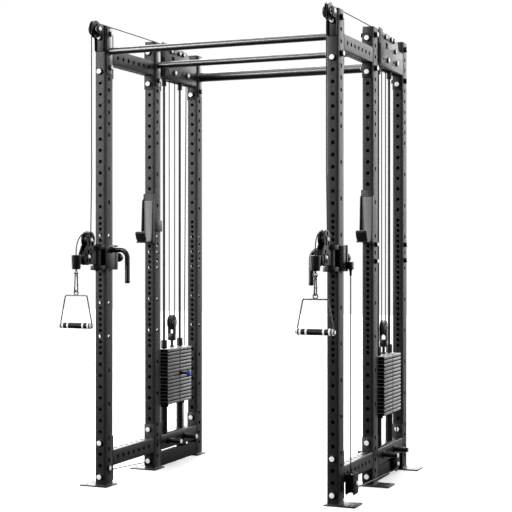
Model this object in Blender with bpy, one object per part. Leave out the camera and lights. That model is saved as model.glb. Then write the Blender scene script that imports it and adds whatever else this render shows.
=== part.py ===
"""Cable crossover machine: a six-post rack with two plate-loaded cable columns.

Units are metres, +Z is up, the machine faces -Y. Everything that belongs to one side is
modelled once in side coordinates, where x runs outward from that side's centre plane, and is
then placed on the right and mirrored on the left. A distance called "forward" is measured
from the front face of the front upright towards the user.
"""
import math

import bmesh
import bpy
from mathutils import Matrix, Vector

# Driving dimensions -------------------------------------------------------------------------
SIDE_X = 0.546            # centre plane of each side frame
BAY = 0.471               # pitch of the uprights, front to middle and middle to rear
FRONT_Y = -0.401          # front face of the front uprights
HEIGHT = 2.048            # top of the uprights
TUBE_X = 0.050            # every tube is 50 x 70 x 3
TUBE_Y = 0.070
WALL = 0.003
CORNER = 0.004
FOOT = 0.006              # foot plate thickness
GAP = 0.0003              # between parts that touch

BEAM_LOW = 0.085          # underside of the lower beams
BEAM_HIGH = 1.884         # underside of the upper beams
PLATE = 0.006             # end plates
BOLT_LOW = (0.045, 0.195)
BOLT_HIGH = (1.845, 1.995)
BAR_BOLTS = (1.865, 2.015)
BAR_Z = 1.938
BOLT_R = 0.006
BOLT_HOLE = 0.0075
HEAD_R = 0.0115
HEAD_T = 0.0075
WASHER_R = 0.013
WASHER_T = 0.0025

PIN_Z = 1.020             # pop pin of the trolley
PIN_HOLE = 0.0098
HOLE_PITCH = 0.050
HOLE_FIRST = 0.420

CABLE_R = 0.0025
GROOVE = 0.030            # cable centre line on a small wheel
WHEEL_R = 0.0375
WHEEL_T = 0.018
RETURN_GROOVE = 0.066
RETURN_R = 0.0735
AXLE_R = 0.006
BORE_R = 0.0072

STACK_Y = 0.711           # stack centre behind the front plane
ROD_STEP = 0.087          # guide rods either side of it
ROD_R = 0.006
PLATE_X = 0.090
PLATE_Y = 0.260
PITCH = 0.017
STACK_LOW = 0.3003
RESTING = 8
SELECTED = 8
LIFT_Z = 0.693

SLEEVE_LOW = 0.964
SLEEVE_TOP = 1.074
PIVOT_F = 0.030
UPPER_WHEEL = (0.106, 1.097)     # forward, z
LOWER_WHEEL = (0.128, 1.024)
TOP_WHEEL = (0.046, 2.026)
TOP_REAR = (-0.651, 2.026)
RETURN_WHEEL = (-0.807, 1.980)
BASE_FRONT = (-0.125, 0.079)
BASE_REAR = (-0.843, 0.0455)
BASE_FRONT_X = 0.046
BASE_REAR_X = 0.015
HANG_F = 0.207

UPRIGHTS = ("front", "middle", "rear")


def at(forward):
    """World y of a point a distance forward of the front face."""
    return FRONT_Y - forward


def post_y(index):
    """World y of the front face of an upright."""
    return FRONT_Y + index * BAY


# Shapes -------------------------------------------------------------------------------------
def to_mesh(bm, name="shape"):
    bmesh.ops.recalc_face_normals(bm, faces=bm.faces)
    mesh = bpy.data.meshes.new(name)
    bm.to_mesh(mesh)
    bm.free()
    return mesh


def block(x0, x1, y0, y1, z0, z1, bevel=0.0):
    """A box; bevel rounds its vertical edges."""
    bm = bmesh.new()
    bmesh.ops.create_cube(bm, size=1.0)
    size = Vector((x1 - x0, y1 - y0, z1 - z0))
    middle = Vector((x0 + x1, y0 + y1, z0 + z1)) / 2
    bmesh.ops.transform(bm, matrix=Matrix.Translation(middle) @ Matrix.Diagonal(size.to_4d()), verts=bm.verts)
    if bevel:
        upright = [e for e in bm.edges if abs((e.verts[0].co - e.verts[1].co).z) > 1e-6]
        bmesh.ops.bevel(bm, geom=upright, offset=bevel, segments=1, affect="EDGES")
    return to_mesh(bm)


def along_y_block(x0, x1, y0, y1, z0, z1, bevel):
    """A box whose edges along Y are rounded."""
    bm = bmesh.new()
    bmesh.ops.create_cube(bm, size=1.0)
    size = Vector((x1 - x0, y1 - y0, z1 - z0))
    middle = Vector((x0 + x1, y0 + y1, z0 + z1)) / 2
    bmesh.ops.transform(bm, matrix=Matrix.Translation(middle) @ Matrix.Diagonal(size.to_4d()), verts=bm.verts)
    lengthwise = [e for e in bm.edges if abs((e.verts[0].co - e.verts[1].co).y) > 1e-6]
    bmesh.ops.bevel(bm, geom=lengthwise, offset=bevel, segments=1, affect="EDGES")
    return to_mesh(bm)


def axes_of(axis):
    """Unit vectors: the axis, and two across it."""
    if axis == "X":
        return Vector((1, 0, 0)), Vector((0, 1, 0)), Vector((0, 0, 1))
    if axis == "Y":
        return Vector((0, 1, 0)), Vector((0, 0, 1)), Vector((1, 0, 0))
    return Vector((0, 0, 1)), Vector((1, 0, 0)), Vector((0, 1, 0))


def turned(axis, centre, profile, sides):
    """Turn a profile of (radius, distance along the axis) points; a radius of 0 is a tip.

    A profile with no tip is a closed loop, and gives a ring."""
    main, across, up = axes_of(axis)
    centre = Vector(centre)
    bm = bmesh.new()
    rings = []
    for radius, along in profile:
        if radius == 0:
            rings.append([bm.verts.new(centre + main * along)])
            continue
        ring = []
        for k in range(sides):
            angle = 2 * math.pi * (k + 0.5) / sides
            ring.append(bm.verts.new(centre + main * along
                                     + across * (radius * math.cos(angle))
                                     + up * (radius * math.sin(angle))))
        rings.append(ring)
    pairs = list(zip(rings, rings[1:]))
    if profile[0][0] and profile[-1][0]:
        pairs.append((rings[-1], rings[0]))
    for a, b in pairs:
        for k in range(sides):
            n = (k + 1) % sides
            corners = [a[k % len(a)], a[n % len(a)], b[n % len(b)], b[k % len(b)]]
            bm.faces.new(list(dict.fromkeys(corners)))
    return to_mesh(bm)


def rod(axis, centre, radius, low, high, sides=8):
    return turned(axis, centre, [(0, low), (radius, low), (radius, high), (0, high)], sides)


def slab(axis, outline, low, high):
    """Extrude an outline of points across an axis, between two distances along it."""
    main, across, up = axes_of(axis)
    bm = bmesh.new()
    face = bm.faces.new([bm.verts.new(main * low + across * a + up * b) for a, b in outline])
    moved = bmesh.ops.extrude_face_region(bm, geom=[face])["geom"]
    bmesh.ops.translate(bm, vec=main * (high - low),
                        verts=[v for v in moved if isinstance(v, bmesh.types.BMVert)])
    return to_mesh(bm)


def ring(axis, centre, major, minor, sides=12, tube=6):
    profile = [(major + minor * math.cos(2 * math.pi * k / tube), minor * math.sin(2 * math.pi * k / tube))
               for k in range(tube)]
    return turned(axis, centre, profile, sides)


def pipe(points, radius, sides=8, closed=False):
    """A round tube along a line of points."""
    curve = bpy.data.curves.new("pipe", "CURVE")
    curve.dimensions = "3D"
    curve.bevel_depth = radius
    curve.bevel_resolution = (sides - 4) // 2
    curve.use_fill_caps = True
    spline = curve.splines.new("POLY")
    spline.points.add(len(points) - 1)
    for point, place in zip(spline.points, points):
        point.co = (*place, 1)
    spline.use_cyclic_u = closed
    holder = bpy.data.objects.new("pipe", curve)
    bpy.context.collection.objects.link(holder)
    mesh = evaluated(holder)
    bpy.data.objects.remove(holder)
    bpy.data.curves.remove(curve)
    bm = bmesh.new()
    bm.from_mesh(mesh)
    bmesh.ops.remove_doubles(bm, verts=bm.verts, dist=1e-6)
    return to_mesh(bm)


def evaluated(holder):
    bpy.context.view_layer.update()
    graph = bpy.context.evaluated_depsgraph_get()
    return bpy.data.meshes.new_from_object(holder.evaluated_get(graph))


def fused(solids, cuts=()):
    """Unite the solids one by one, then cut each cutter away."""
    holder = bpy.data.objects.new("base", solids[0])
    bpy.context.collection.objects.link(holder)
    used = [holder]
    for operation, group in (("UNION", solids[1:]), ("DIFFERENCE", cuts)):
        for shape in group:
            tool = bpy.data.objects.new("tool", shape)
            tool.hide_render = True
            tool.display_type = "WIRE"
            bpy.context.collection.objects.link(tool)
            used.append(tool)
            boolean = holder.modifiers.new(operation, "BOOLEAN")
            boolean.operation = operation
            boolean.solver = "EXACT"
            boolean.object = tool
    mesh = evaluated(holder)
    for piece in used:
        bpy.data.objects.remove(piece)
    bm = bmesh.new()
    bm.from_mesh(mesh)
    bmesh.ops.remove_doubles(bm, verts=bm.verts, dist=1e-6)
    bmesh.ops.dissolve_limit(bm, angle_limit=0.002, verts=bm.verts, edges=bm.edges)
    return to_mesh(bm)


# Materials ----------------------------------------------------------------------------------
def finish(name, colour, roughness, metallic):
    made = bpy.data.materials.new(name)
    made.use_nodes = True
    shader = made.node_tree.nodes["Principled BSDF"]
    shader.inputs["Base Color"].default_value = (*colour, 1)
    shader.inputs["Roughness"].default_value = roughness
    shader.inputs["Metallic"].default_value = metallic
    return made


# Placing ------------------------------------------------------------------------------------
def add(name, mesh, material, pivot=(0, 0, 0)):
    """Make the named object, with its origin at the pivot."""
    mesh.transform(Matrix.Translation(-Vector(pivot)))
    mesh.materials.clear()
    mesh.materials.append(material)
    mesh.name = name
    piece = bpy.data.objects.new(name, mesh)
    piece.location = pivot
    bpy.context.collection.objects.link(piece)
    mesh.shade_smooth()
    mesh.set_sharp_from_angle(angle=math.radians(35))


def both_sides(name, mesh, material, pivot=(0, 0, 0)):
    """Place a side piece on the right and its mirror image on the left."""
    for word, sign in (("right", 1), ("left", -1)):
        copy = mesh.copy()
        copy.transform(Matrix.Translation((SIDE_X, 0, 0)))
        copy.transform(Matrix.Diagonal((sign, 1, 1, 1)))
        if sign < 0:
            copy.flip_normals()
        place = (sign * (SIDE_X + pivot[0]), pivot[1], pivot[2])
        add(f"{word}_{name}", copy, material, place)


# Fasteners ----------------------------------------------------------------------------------
def bolt(axis, across, start, end, way, nut=None):
    """A hex bolt whose head and washer sit at start, with a shank running to end.

    across is the place on the axis, way the direction of the head, nut the place of a nut."""
    centre = Vector(across)
    inside = start + way * 0.001
    parts = [rod(axis, centre, BOLT_R, min(inside, end), max(inside, end), 6)]
    flat = start + way * WASHER_T
    outer = flat + way * HEAD_T
    profile = [(0, start), (WASHER_R, start), (WASHER_R, flat), (HEAD_R, flat), (HEAD_R, outer), (0, outer)]
    parts.append(turned(axis, centre, profile, 6))
    if nut is not None:
        parts.append(rod(axis, centre, HEAD_R, min(nut, nut - way * HEAD_T), max(nut, nut - way * HEAD_T), 6))
    return parts


# Uprights -----------------------------------------------------------------------------------
def upright(index):
    """A square-cornered tube on its welded foot plate, closed by a cap at the top."""
    y0 = post_y(index)
    y1 = y0 + TUBE_Y
    middle = (y0 + y1) / 2
    half = TUBE_X / 2
    tube = block(-half, half, y0, y1, FOOT - 0.0005, HEIGHT, CORNER)
    plate = block(-half - 0.012, 0.100, y0 - 0.012, y1 + 0.018, 0, FOOT)
    hollow = block(-half + WALL, half - WALL, y0 + WALL, y1 - WALL, FOOT + 0.0005, HEIGHT - WALL)
    cuts = [hollow]
    for z in BOLT_LOW + BOLT_HIGH:
        cuts.append(rod("Y", (0, middle, z), BOLT_HOLE, -0.06, 0.06, 6))
    for z in BAR_BOLTS:
        cuts.append(rod("X", (0, middle, z), BOLT_HOLE, -0.06, 0.06, 6))
    if index == 0:
        count = round((1.620 - HOLE_FIRST) / HOLE_PITCH) + 1
        for k in range(count):
            cuts.append(rod("Y", (0, middle, HOLE_FIRST + k * HOLE_PITCH), PIN_HOLE, -0.06, 0.06, 6))
    if index == 1:
        cuts.append(rod("Y", (0, y0, 1.295), PIN_HOLE, -0.03, 0.03, 6))
    return fused([tube, plate], cuts)


# Beams --------------------------------------------------------------------------------------
def end_plate(y, low, high, wide=0.050):
    return block(-wide / 2, wide / 2, y, y + PLATE, low, high)


def beam_tube(y0, y1, low):
    half = TUBE_X / 2
    return along_y_block(-half, half, y0, y1, low, low + TUBE_Y, CORNER)


def beam_hollow(y0, y1, low):
    half = TUBE_X / 2
    return block(-half + WALL, half - WALL, y0, y1, low + WALL, low + TUBE_Y - WALL)


def front_beam(low, bolts, plate_low, plate_high, head_forward):
    """A beam from the front upright to the middle one, with the bolts of both joints."""
    start = post_y(0) + TUBE_Y + GAP
    end = post_y(1) - GAP - PLATE
    tube = beam_tube(start + 0.002, end + 0.004, low)
    solids = [tube, end_plate(start, plate_low, plate_high), end_plate(end, plate_low, plate_high)]
    behind = post_y(1) + TUBE_Y + GAP + PLATE + 0.0009
    for z in bolts:
        solids += bolt("Y", (0, 0, z), FRONT_Y - head_forward[z] - GAP, start + 0.003, -1)
        solids += bolt("Y", (0, 0, z), end + 0.0004, behind + 0.004, -1, nut=behind)
    cuts = [beam_hollow(start + PLATE + 0.0003, end - 0.0003, low),
            rod("Z", (0.007, start + 0.110, low), 0.006, -0.01, 0.01, 6)]
    return solids, cuts


def rear_beam(low, bolts, plate_low, plate_high):
    """A beam from the middle upright to the rear one, bolted through the rear upright."""
    start = post_y(1) + TUBE_Y + GAP
    end = post_y(2) - GAP - PLATE
    tube = beam_tube(start + 0.002, end + 0.004, low)
    solids = [tube, end_plate(start, plate_low, plate_high), end_plate(end, plate_low, plate_high)]
    behind = post_y(2) + TUBE_Y + GAP
    for z in bolts:
        solids += bolt("Y", (0, 0, z), end + 0.0004, behind + 0.004, -1, nut=behind)
    cuts = [beam_hollow(start + PLATE + 0.0003, end - 0.0003, low)]
    for z in bolts:
        cuts.append(rod("Y", (0, start, z), BOLT_HOLE, -0.01, 0.02, 6))
    return solids, cuts


def lower_front_beam():
    solids, cuts = front_beam(BEAM_LOW, BOLT_LOW, 0.020, 0.220, {z: 0.0 for z in BOLT_LOW})
    y = at(BASE_FRONT[0])
    z = BASE_FRONT[1]
    inner = block(0.0248, 0.0285, y - 0.030, y + 0.036, z - 0.040, z + 0.045)
    outer = block(0.0575, 0.0612, y - 0.030, y + 0.036, z - 0.040, z + 0.045)
    bridge = block(0.026, 0.060, y - 0.018, y + 0.0355, z + 0.0405, z + 0.0445)
    axle = rod("X", (0, y, z), AXLE_R, 0.0262, 0.0625, 12)
    head = rod("X", (0, y, z), HEAD_R, 0.0610, 0.0680, 6)
    return fused(solids + [inner, outer, bridge, axle, head], cuts)


def upper_front_beam():
    bracket = 0.0045
    forward = {BOLT_HIGH[0]: 0.0, BOLT_HIGH[1]: bracket}
    solids, cuts = front_beam(BEAM_HIGH, BOLT_HIGH, 1.820, 2.020, forward)
    return fused(solids, cuts)


def lower_rear_beam():
    solids, cuts = rear_beam(BEAM_LOW, BOLT_LOW, 0.0066, 0.220)
    start = post_y(1) + TUBE_Y + GAP
    floor_end = at(BASE_REAR[0]) - 0.083
    solids.append(along_y_block(-0.0245, 0.0148, start + 0.003, floor_end, 0.0070, 0.0705, CORNER))
    cuts.append(block(-0.0215, 0.0119, start + PLATE + 0.0005, floor_end + 0.01, 0.0100, 0.0675))
    end = post_y(2) - GAP - PLATE
    solids.append(block(-0.0242, -0.0008, floor_end - 0.0050, end + 0.003, 0.0073, 0.0702))
    cuts.append(block(-0.0212, -0.0038, floor_end - 0.0080, end - 0.0004, 0.0103, 0.0672))
    for offset in (-ROD_STEP, ROD_STEP):
        y = at(-STACK_Y) + offset
        solids.append(rod("X", (0, y, 0.121), 0.0125, -0.097, 0.097, 10))
    y = at(BASE_REAR[0])
    z = BASE_REAR[1]
    solids.append(block(0.0025, 0.0055, y - 0.030, y + 0.038, z - 0.020, 0.0865))
    solids.append(block(0.0248, 0.0278, y - 0.031, y + 0.039, z - 0.021, 0.104))
    solids.append(rod("X", (0, y, z), AXLE_R, 0.0030, 0.0330, 12))
    solids.append(rod("X", (0, y, z), HEAD_R, 0.0275, 0.034, 6))
    cable_y = at(BASE_REAR[0]) + GROOVE
    cuts.append(block(0.006, 0.0235, cable_y - 0.010, cable_y + 0.010, 0.0825, 0.17))
    return fused(solids, cuts)


def upper_rear_beam():
    solids, cuts = rear_beam(BEAM_HIGH, BOLT_HIGH, 1.820, 2.020)
    outline = [(0.548, 1.887), (0.548, 2.052), (0.556, 2.058), (0.600, 2.060), (0.618, 2.044),
               (0.815, 2.042), (0.845, 2.030), (0.861, 1.994), (0.935, 1.990), (0.935, 1.887)]
    points = [(FRONT_Y + y, z) for y, z in outline]
    for low, high in ((-0.0278, -0.0248), (0.0248, 0.0278)):
        solids.append(slab("X", points, low, high))
    for forward, z in (TOP_REAR, RETURN_WHEEL):
        solids.append(rod("X", (0, at(forward), z), AXLE_R, -0.030, 0.030, 12))
        for low, high in ((-0.0350, -0.0275), (0.0275, 0.0350)):
            solids.append(rod("X", (0, at(forward), z), HEAD_R, low, high, 6))
    cuts.append(block(-0.011, 0.011, FRONT_Y + 0.668, FRONT_Y + 0.892, 1.87, 1.97))
    return fused(solids, cuts)


# Cross bars ---------------------------------------------------------------------------------
def cross_bar(index, radius):
    """A pull-up bar with its end plates and the bolts that go out through both uprights."""
    middle = post_y(index) + TUBE_Y / 2
    inner = SIDE_X - TUBE_X / 2 - GAP
    outer = SIDE_X + TUBE_X / 2 + GAP
    solids = [rod("X", (0, middle, BAR_Z), radius, -inner + 0.003, inner - 0.003, 14)]
    for sign in (-1, 1):
        near, far = sorted((sign * (inner - PLATE), sign * inner))
        solids.append(block(near, far, middle - 0.0275, middle + 0.0275, 1.836, 2.040))
        for z in BAR_BOLTS:
            solids += bolt("X", (0, middle, z), sign * outer, sign * (inner - 0.003), sign)
    hollow = rod("X", (0, middle, BAR_Z), radius - WALL, -inner + PLATE + 0.001, inner - PLATE - 0.001, 14)
    vent = rod("Z", (inner - 0.03, middle, BAR_Z - radius), 0.003, -0.01, 0.01, 6)
    return fused(solids, [hollow, vent])


# Wheels -------------------------------------------------------------------------------------
def wheel(forward, z, x=0.0, radius=WHEEL_R, groove=GROOVE, sides=14):
    half = WHEEL_T / 2
    lip = 0.0015
    floor = groove - CABLE_R - 0.001
    profile = [(BORE_R, -half), (radius, -half), (radius, -half + lip), (floor, -half + lip),
               (floor, half - lip), (radius, half - lip), (radius, half), (BORE_R, half)]
    return turned("X", (x, at(forward), z), profile, sides)


# Trolley ------------------------------------------------------------------------------------
def carriage():
    """The sleeve that rides on the front upright, with its grip, pin barrel and cable anchor."""
    wall = 0.005
    inside = 0.0275
    outside = inside + wall
    front = at(0.0025)
    back = at(-TUBE_Y - 0.0025)
    low, top = SLEEVE_LOW, SLEEVE_TOP
    pivot = at(PIVOT_F)
    solids = [block(-outside, outside, front - wall, back + wall, low, top, 0.003)]
    for x0, x1 in ((-outside, -inside), (inside, outside)):
        solids.append(block(x0, x1, back, at(-0.103), low, top))
    for z0, z1 in ((low, low + 0.020), (top - 0.020, top)):
        solids.append(rod("Z", (0, pivot, 0), 0.0305, z0, z1, 16))
        solids.append(block(-0.0300, 0.0300, pivot, front, z0 + 0.0002, z1 - 0.0002))
    solids.append(rod("Z", (0, pivot, 0), 0.005, low + 0.010, top - 0.010, 10))
    solids.append(rod("Y", (0, 0, PIN_Z), 0.0115, back + 0.002, at(-0.118), 12))
    anchor_y = at(-0.095)
    solids.append(block(outside - 0.002, 0.056, anchor_y - 0.012, anchor_y + 0.012, 0.972, 1.004))
    solids.append(rod("Z", (BASE_FRONT_X, anchor_y, 0), 0.005, 0.945, 0.975, 8))
    grip_y = at(-0.047)
    bend = 0.035
    corner = Vector((-0.076, grip_y, 1.053 - bend))
    path = [Vector((-0.0295, grip_y, 1.053))]
    for k in range(5):
        angle = math.radians(90 + 22.5 * k)
        path.append(corner + Vector((bend * math.cos(angle), 0, bend * math.sin(angle))))
    path.append(Vector((-0.111, grip_y, 0.904)))
    solids.append(pipe(path, 0.0115, 6))
    cuts = [block(-inside, inside, front, back, low - 0.01, top + 0.01),
            rod("Y", (0, 0, PIN_Z), 0.0075, back - 0.002, at(-0.121), 12)]
    return fused(solids, cuts)


def pop_pin():
    """The sprung plunger with its round knob."""
    tip, shoulder, knob, end = at(-0.064), at(-0.1185), at(-0.150), at(-0.181)
    profile = [(0, tip), (0.0055, tip), (0.0065, tip + 0.002), (0.0065, shoulder), (0.009, shoulder),
               (0.009, knob), (0.019, knob), (0.0225, knob + 0.005), (0.0225, end - 0.005),
               (0.019, end), (0, end)]
    return turned("Y", (0, 0, PIN_Z), profile, 10)


def cheek_outline():
    """Outline of the block's cheeks: round both wheels, with a root towards the pin."""
    lean = math.degrees(math.atan2(LOWER_WHEEL[0] - UPPER_WHEEL[0], UPPER_WHEEL[1] - LOWER_WHEEL[1]))
    points = [(0.066, 0.9905)]
    points += arc(LOWER_WHEEL, 0.0365, 240, 360 + lean, 8)
    points += arc(UPPER_WHEEL, 0.0365, lean, 180 + lean, 9)
    points.append((0.066, 1.0475))
    return [(at(forward), z) for forward, z in points]


def swivel_arm():
    """The pulley block that turns on the trolley's front pin."""
    pivot = at(PIVOT_F)
    sleeve = [(0.0058, 0.9846), (0.0200, 0.9846), (0.0200, 1.0534), (0.0058, 1.0534)]
    solids = [turned("Z", (0, pivot, 0), sleeve, 14),
              block(-0.006, 0.006, at(0.064), pivot - 0.015, 0.992, 1.046),
              block(-0.0135, 0.0135, at(0.070), at(0.060), 0.989, 1.049)]
    for low, high in ((-0.0145, -0.0105), (0.0105, 0.0145)):
        solids.append(slab("X", cheek_outline(), low, high))
    for forward, z in (LOWER_WHEEL, UPPER_WHEEL):
        solids.append(rod("X", (0, at(forward), z), AXLE_R, -0.019, 0.019, 12))
    return fused(solids)


def cable_stop():
    """The rubber cone on the cable end, with the eye below it."""
    y = at(HANG_F)
    profile = [(0, 0.985), (0.0036, 0.985), (0.0036, 1.032), (0.0205, 1.032), (0.022, 1.029),
               (0.0190, 0.973), (0.017, 0.970), (0.0032, 0.970), (0.0032, 0.960), (0, 0.960)]
    body = turned("Z", (0, y, 0), profile, 12)
    eye = ring("Y", (0, y, 0.953), 0.0085, 0.0022, 10, 6)
    return fused([body, eye])


def arc(centre, radius, start, end, steps):
    """Points of (a, b) round a centre, angles in degrees."""
    return [(centre[0] + radius * math.cos(math.radians(start + (end - start) * k / steps)),
             centre[1] + radius * math.sin(math.radians(start + (end - start) * k / steps)))
            for k in range(steps + 1)]


def carabiner():
    outline = arc((0, 0.9455), 0.0085, 0, 180, 6) + arc((0, 0.8850), 0.0125, 180, 360, 8)
    points = [(0, at(HANG_F) + a, z) for a, z in outline]
    return pipe(points, 0.0035, 6, closed=True)


def pull_handle():
    """The stirrup: wire frame, eye and grip."""
    y = at(HANG_F)
    top, low = 0.858, 0.7286
    narrow, wide = 0.053, 0.079
    solids = [pipe([(-wide, y, low), (-narrow, y, top), (narrow, y, top), (wide, y, low)], 0.003, 6),
              turned("X", (0, y, low), [(0, -0.084), (0.0138, -0.084), (0.0138, -0.070), (0.013, -0.070),
                                        (0.013, 0.070), (0.0138, 0.070), (0.0138, 0.084), (0, 0.084)], 12),
              ring("Y", (0, y, 0.8705), 0.0098, 0.0028, 12, 6)]
    return fused(solids)


# Weight stack -------------------------------------------------------------------------------
def plate_pile(low, count, groove=0.002, depth=0.003):
    """A pile of plates drawn as one body with a groove at each joint."""
    bm = bmesh.new()
    levels = []
    for k in range(count):
        bottom = low + k * PITCH
        top = bottom + PITCH
        if k:
            levels += [(bottom + groove / 2, depth), (bottom + groove / 2, 0)]
        else:
            levels.append((bottom, 0))
        if k < count - 1:
            levels += [(top - groove / 2, 0), (top - groove / 2, depth)]
        else:
            levels.append((top - 0.001, 0))
    rings = []
    centre = at(-STACK_Y)
    for z, inset in levels:
        half_x = PLATE_X / 2 - inset
        half_y = PLATE_Y / 2 - inset
        rings.append([bm.verts.new((sx * half_x, centre + sy * half_y, z))
                      for sx, sy in ((-1, -1), (1, -1), (1, 1), (-1, 1))])
    for a, b in zip(rings, rings[1:]):
        for k in range(4):
            n = (k + 1) % 4
            bm.faces.new([a[k], a[n], b[n], b[k]])
    bm.faces.new(list(reversed(rings[0])))
    bm.faces.new(rings[-1])
    return to_mesh(bm)


def rod_places():
    return [at(-STACK_Y) - ROD_STEP, at(-STACK_Y) + ROD_STEP]


def resting_plates():
    pile = plate_pile(STACK_LOW, RESTING)
    top = STACK_LOW + RESTING * PITCH
    cuts = [rod("Z", (0, y, 0), 0.0085, STACK_LOW - 0.01, top + 0.01, 10) for y in rod_places()]
    cuts.append(rod("Z", (0, at(-STACK_Y), 0), 0.0125, STACK_LOW - 0.01, top + 0.01, 10))
    return fused([pile], cuts)


def selected_plates():
    """The pinned plates with the selector stem below and the pulley yoke above."""
    low = STACK_LOW + RESTING * PITCH
    top = low + SELECTED * PITCH - 0.001
    centre = at(-STACK_Y)
    solids = [plate_pile(low, SELECTED), rod("Z", (0, centre, 0), 0.0095, STACK_LOW + 0.002, top - 0.001, 10)]
    for y in rod_places():
        solids.append(rod("Z", (0, y, 0), 0.0155, top - 0.001, top + 0.040, 12))
    solids.append(rod("Z", (0, centre, 0), 0.007, top - 0.001, 0.610, 8))
    solids.append(block(-0.016, 0.016, centre - 0.014, centre + 0.014, 0.600, 0.640, 0.003))
    for x0, x1 in ((-0.016, -0.012), (0.012, 0.016)):
        solids.append(block(x0, x1, centre - 0.014, centre + 0.014, 0.630, LIFT_Z + 0.016))
    solids.append(rod("X", (0, centre, LIFT_Z), AXLE_R, -0.0215, 0.0215, 12))
    cuts = [rod("Z", (0, y, 0), 0.0085, low - 0.01, top + 0.05, 10) for y in rod_places()]
    cuts.append(rod("X", (0, centre, low + PITCH / 2), 0.0052, -0.06, 0.004, 8))
    return fused(solids, cuts)


def selector_pin():
    low = STACK_LOW + RESTING * PITCH
    profile = [(0, 0.002), (0.004, 0.002), (0.0042, -0.0455), (0.0065, -0.0455), (0.0065, -0.085),
               (0.0135, -0.085), (0.0150, -0.088), (0.0150, -0.095), (0.0120, -0.099), (0, -0.099)]
    return turned("X", (0, at(-STACK_Y), low + PITCH / 2), profile, 10)


def guide_rods():
    """Two rods on one tie plate, with rubber risers and top collars."""
    low = BEAM_LOW + TUBE_Y + GAP
    high = BEAM_HIGH - GAP
    centre = at(-STACK_Y)
    solids = [block(-0.020, 0.020, centre - 0.115, centre + 0.115, low, low + 0.005)]
    for y in rod_places():
        solids.append(rod("Z", (0, y, 0), ROD_R, low + 0.002, high, 10))
        solids.append(rod("Z", (0, y, 0), 0.017, low + 0.004, STACK_LOW - GAP, 12))
        solids.append(rod("Z", (0, y, 0), 0.012, high - 0.022, high - 0.002, 10))
    return fused(solids)


# Fixed fittings -----------------------------------------------------------------------------
def top_pulley_bracket():
    """The forked bracket on the head of the front upright."""
    outline = [(0.001, 1.9335), (0.013, 1.9345), (0.014, 1.982), (0.030, 2.002), (0.052, 2.003),
               (0.064, 2.012), (0.068, 2.026), (0.060, 2.0455), (0.001, 2.0455)]
    points = [(at(forward), z) for forward, z in outline]
    solids = [block(-0.0215, 0.0215, at(0.0045), at(GAP), 1.933, 2.046)]
    for low, high in ((-0.0212, -0.0185), (0.0185, 0.0212)):
        solids.append(slab("X", points, low, high))
    forward, z = TOP_WHEEL
    solids.append(rod("X", (0, at(forward), z), AXLE_R, -0.0285, 0.0285, 12))
    for low, high in ((-0.0280, -0.0209), (0.0209, 0.0280)):
        solids.append(rod("X", (0, at(forward), z), 0.010, low, high, 6))
    return fused(solids, [rod("Y", (0, FRONT_Y, BOLT_HIGH[1]), BOLT_HOLE, -0.02, 0.02, 6)])


def j_cup():
    """The bar holder on the middle upright, with its hook pin."""
    front = post_y(1)
    solids = [block(-0.030, 0.030, front - 0.0063, front - GAP, 1.085, 1.321),
              block(-0.025, 0.025, front - 0.0900, front - 0.005, 1.085, 1.093),
              slab("X", [(front - 0.098, 1.139), (front - 0.090, 1.139), (front - 0.080, 1.085),
                         (front - 0.088, 1.085)], -0.025, 0.025),
              rod("Y", (0, front, 1.295), 0.0075, -0.004, 0.022, 10),
              block(-0.0300, -0.0254, front - 0.004, front + 0.077, 1.140, 1.195)]
    for x0, x1 in ((-0.030, -0.025), (0.025, 0.030)):
        solids.append(slab("X", [(front - 0.005, 1.300), (front - 0.020, 1.290), (front - 0.030, 1.085),
                                 (front - 0.005, 1.085)], x0, x1))
    return fused(solids)


# Cable --------------------------------------------------------------------------------------
def wheel_arc(place, radius, start, end, steps, x0, x1):
    """The cable on a wheel; angles in degrees from the forward direction, up through 90."""
    points = []
    for k, (forward, z) in enumerate(arc(place, radius, start, end, steps)):
        points.append((x0 + (x1 - x0) * k / steps, at(forward), z))
    return points


def cable_route():
    """The closed run from the trolley's anchor, round every wheel, to the stop."""
    lift = (-STACK_Y, LIFT_Z)
    lean = math.degrees(math.atan2(LOWER_WHEEL[0] - UPPER_WHEEL[0], UPPER_WHEEL[1] - LOWER_WHEEL[1]))
    apart = math.dist(LOWER_WHEEL, UPPER_WHEEL)
    leave = 90 + lean - math.degrees(math.acos(2 * GROOVE / apart))
    offset = 0.0045
    route = [(BASE_FRONT_X, at(-0.095), 0.9447)]
    route += wheel_arc(BASE_FRONT, GROOVE, 0, -90, 6, BASE_FRONT_X, BASE_FRONT_X)
    route += wheel_arc(BASE_REAR, GROOVE, 270, 180, 6, BASE_REAR_X, BASE_REAR_X)
    route += wheel_arc(RETURN_WHEEL, RETURN_GROOVE, 180, 0, 10, 0, 0)
    route += wheel_arc(lift, GROOVE, 180, 360, 9, 0, 0)
    route += wheel_arc(TOP_REAR, GROOVE, 180, 90, 5, 0, 0)
    route += wheel_arc(TOP_WHEEL, GROOVE, 90, 0, 5, 0, 0)
    route += wheel_arc(UPPER_WHEEL, GROOVE, 180, 180 + lean, 2, offset, offset)
    route += wheel_arc(LOWER_WHEEL, GROOVE, 180 + lean, 360 + leave, 12, offset, -offset)
    route += wheel_arc(UPPER_WHEEL, GROOVE, 180 + leave, 90, 8, -offset, -offset)
    hang = (0.130, UPPER_WHEEL[1] + GROOVE - (HANG_F - 0.130))
    route += wheel_arc(hang, HANG_F - 0.130, 90, 0, 6, -offset, 0)
    route.append((0, at(HANG_F), 0.9856))
    return route


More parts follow.
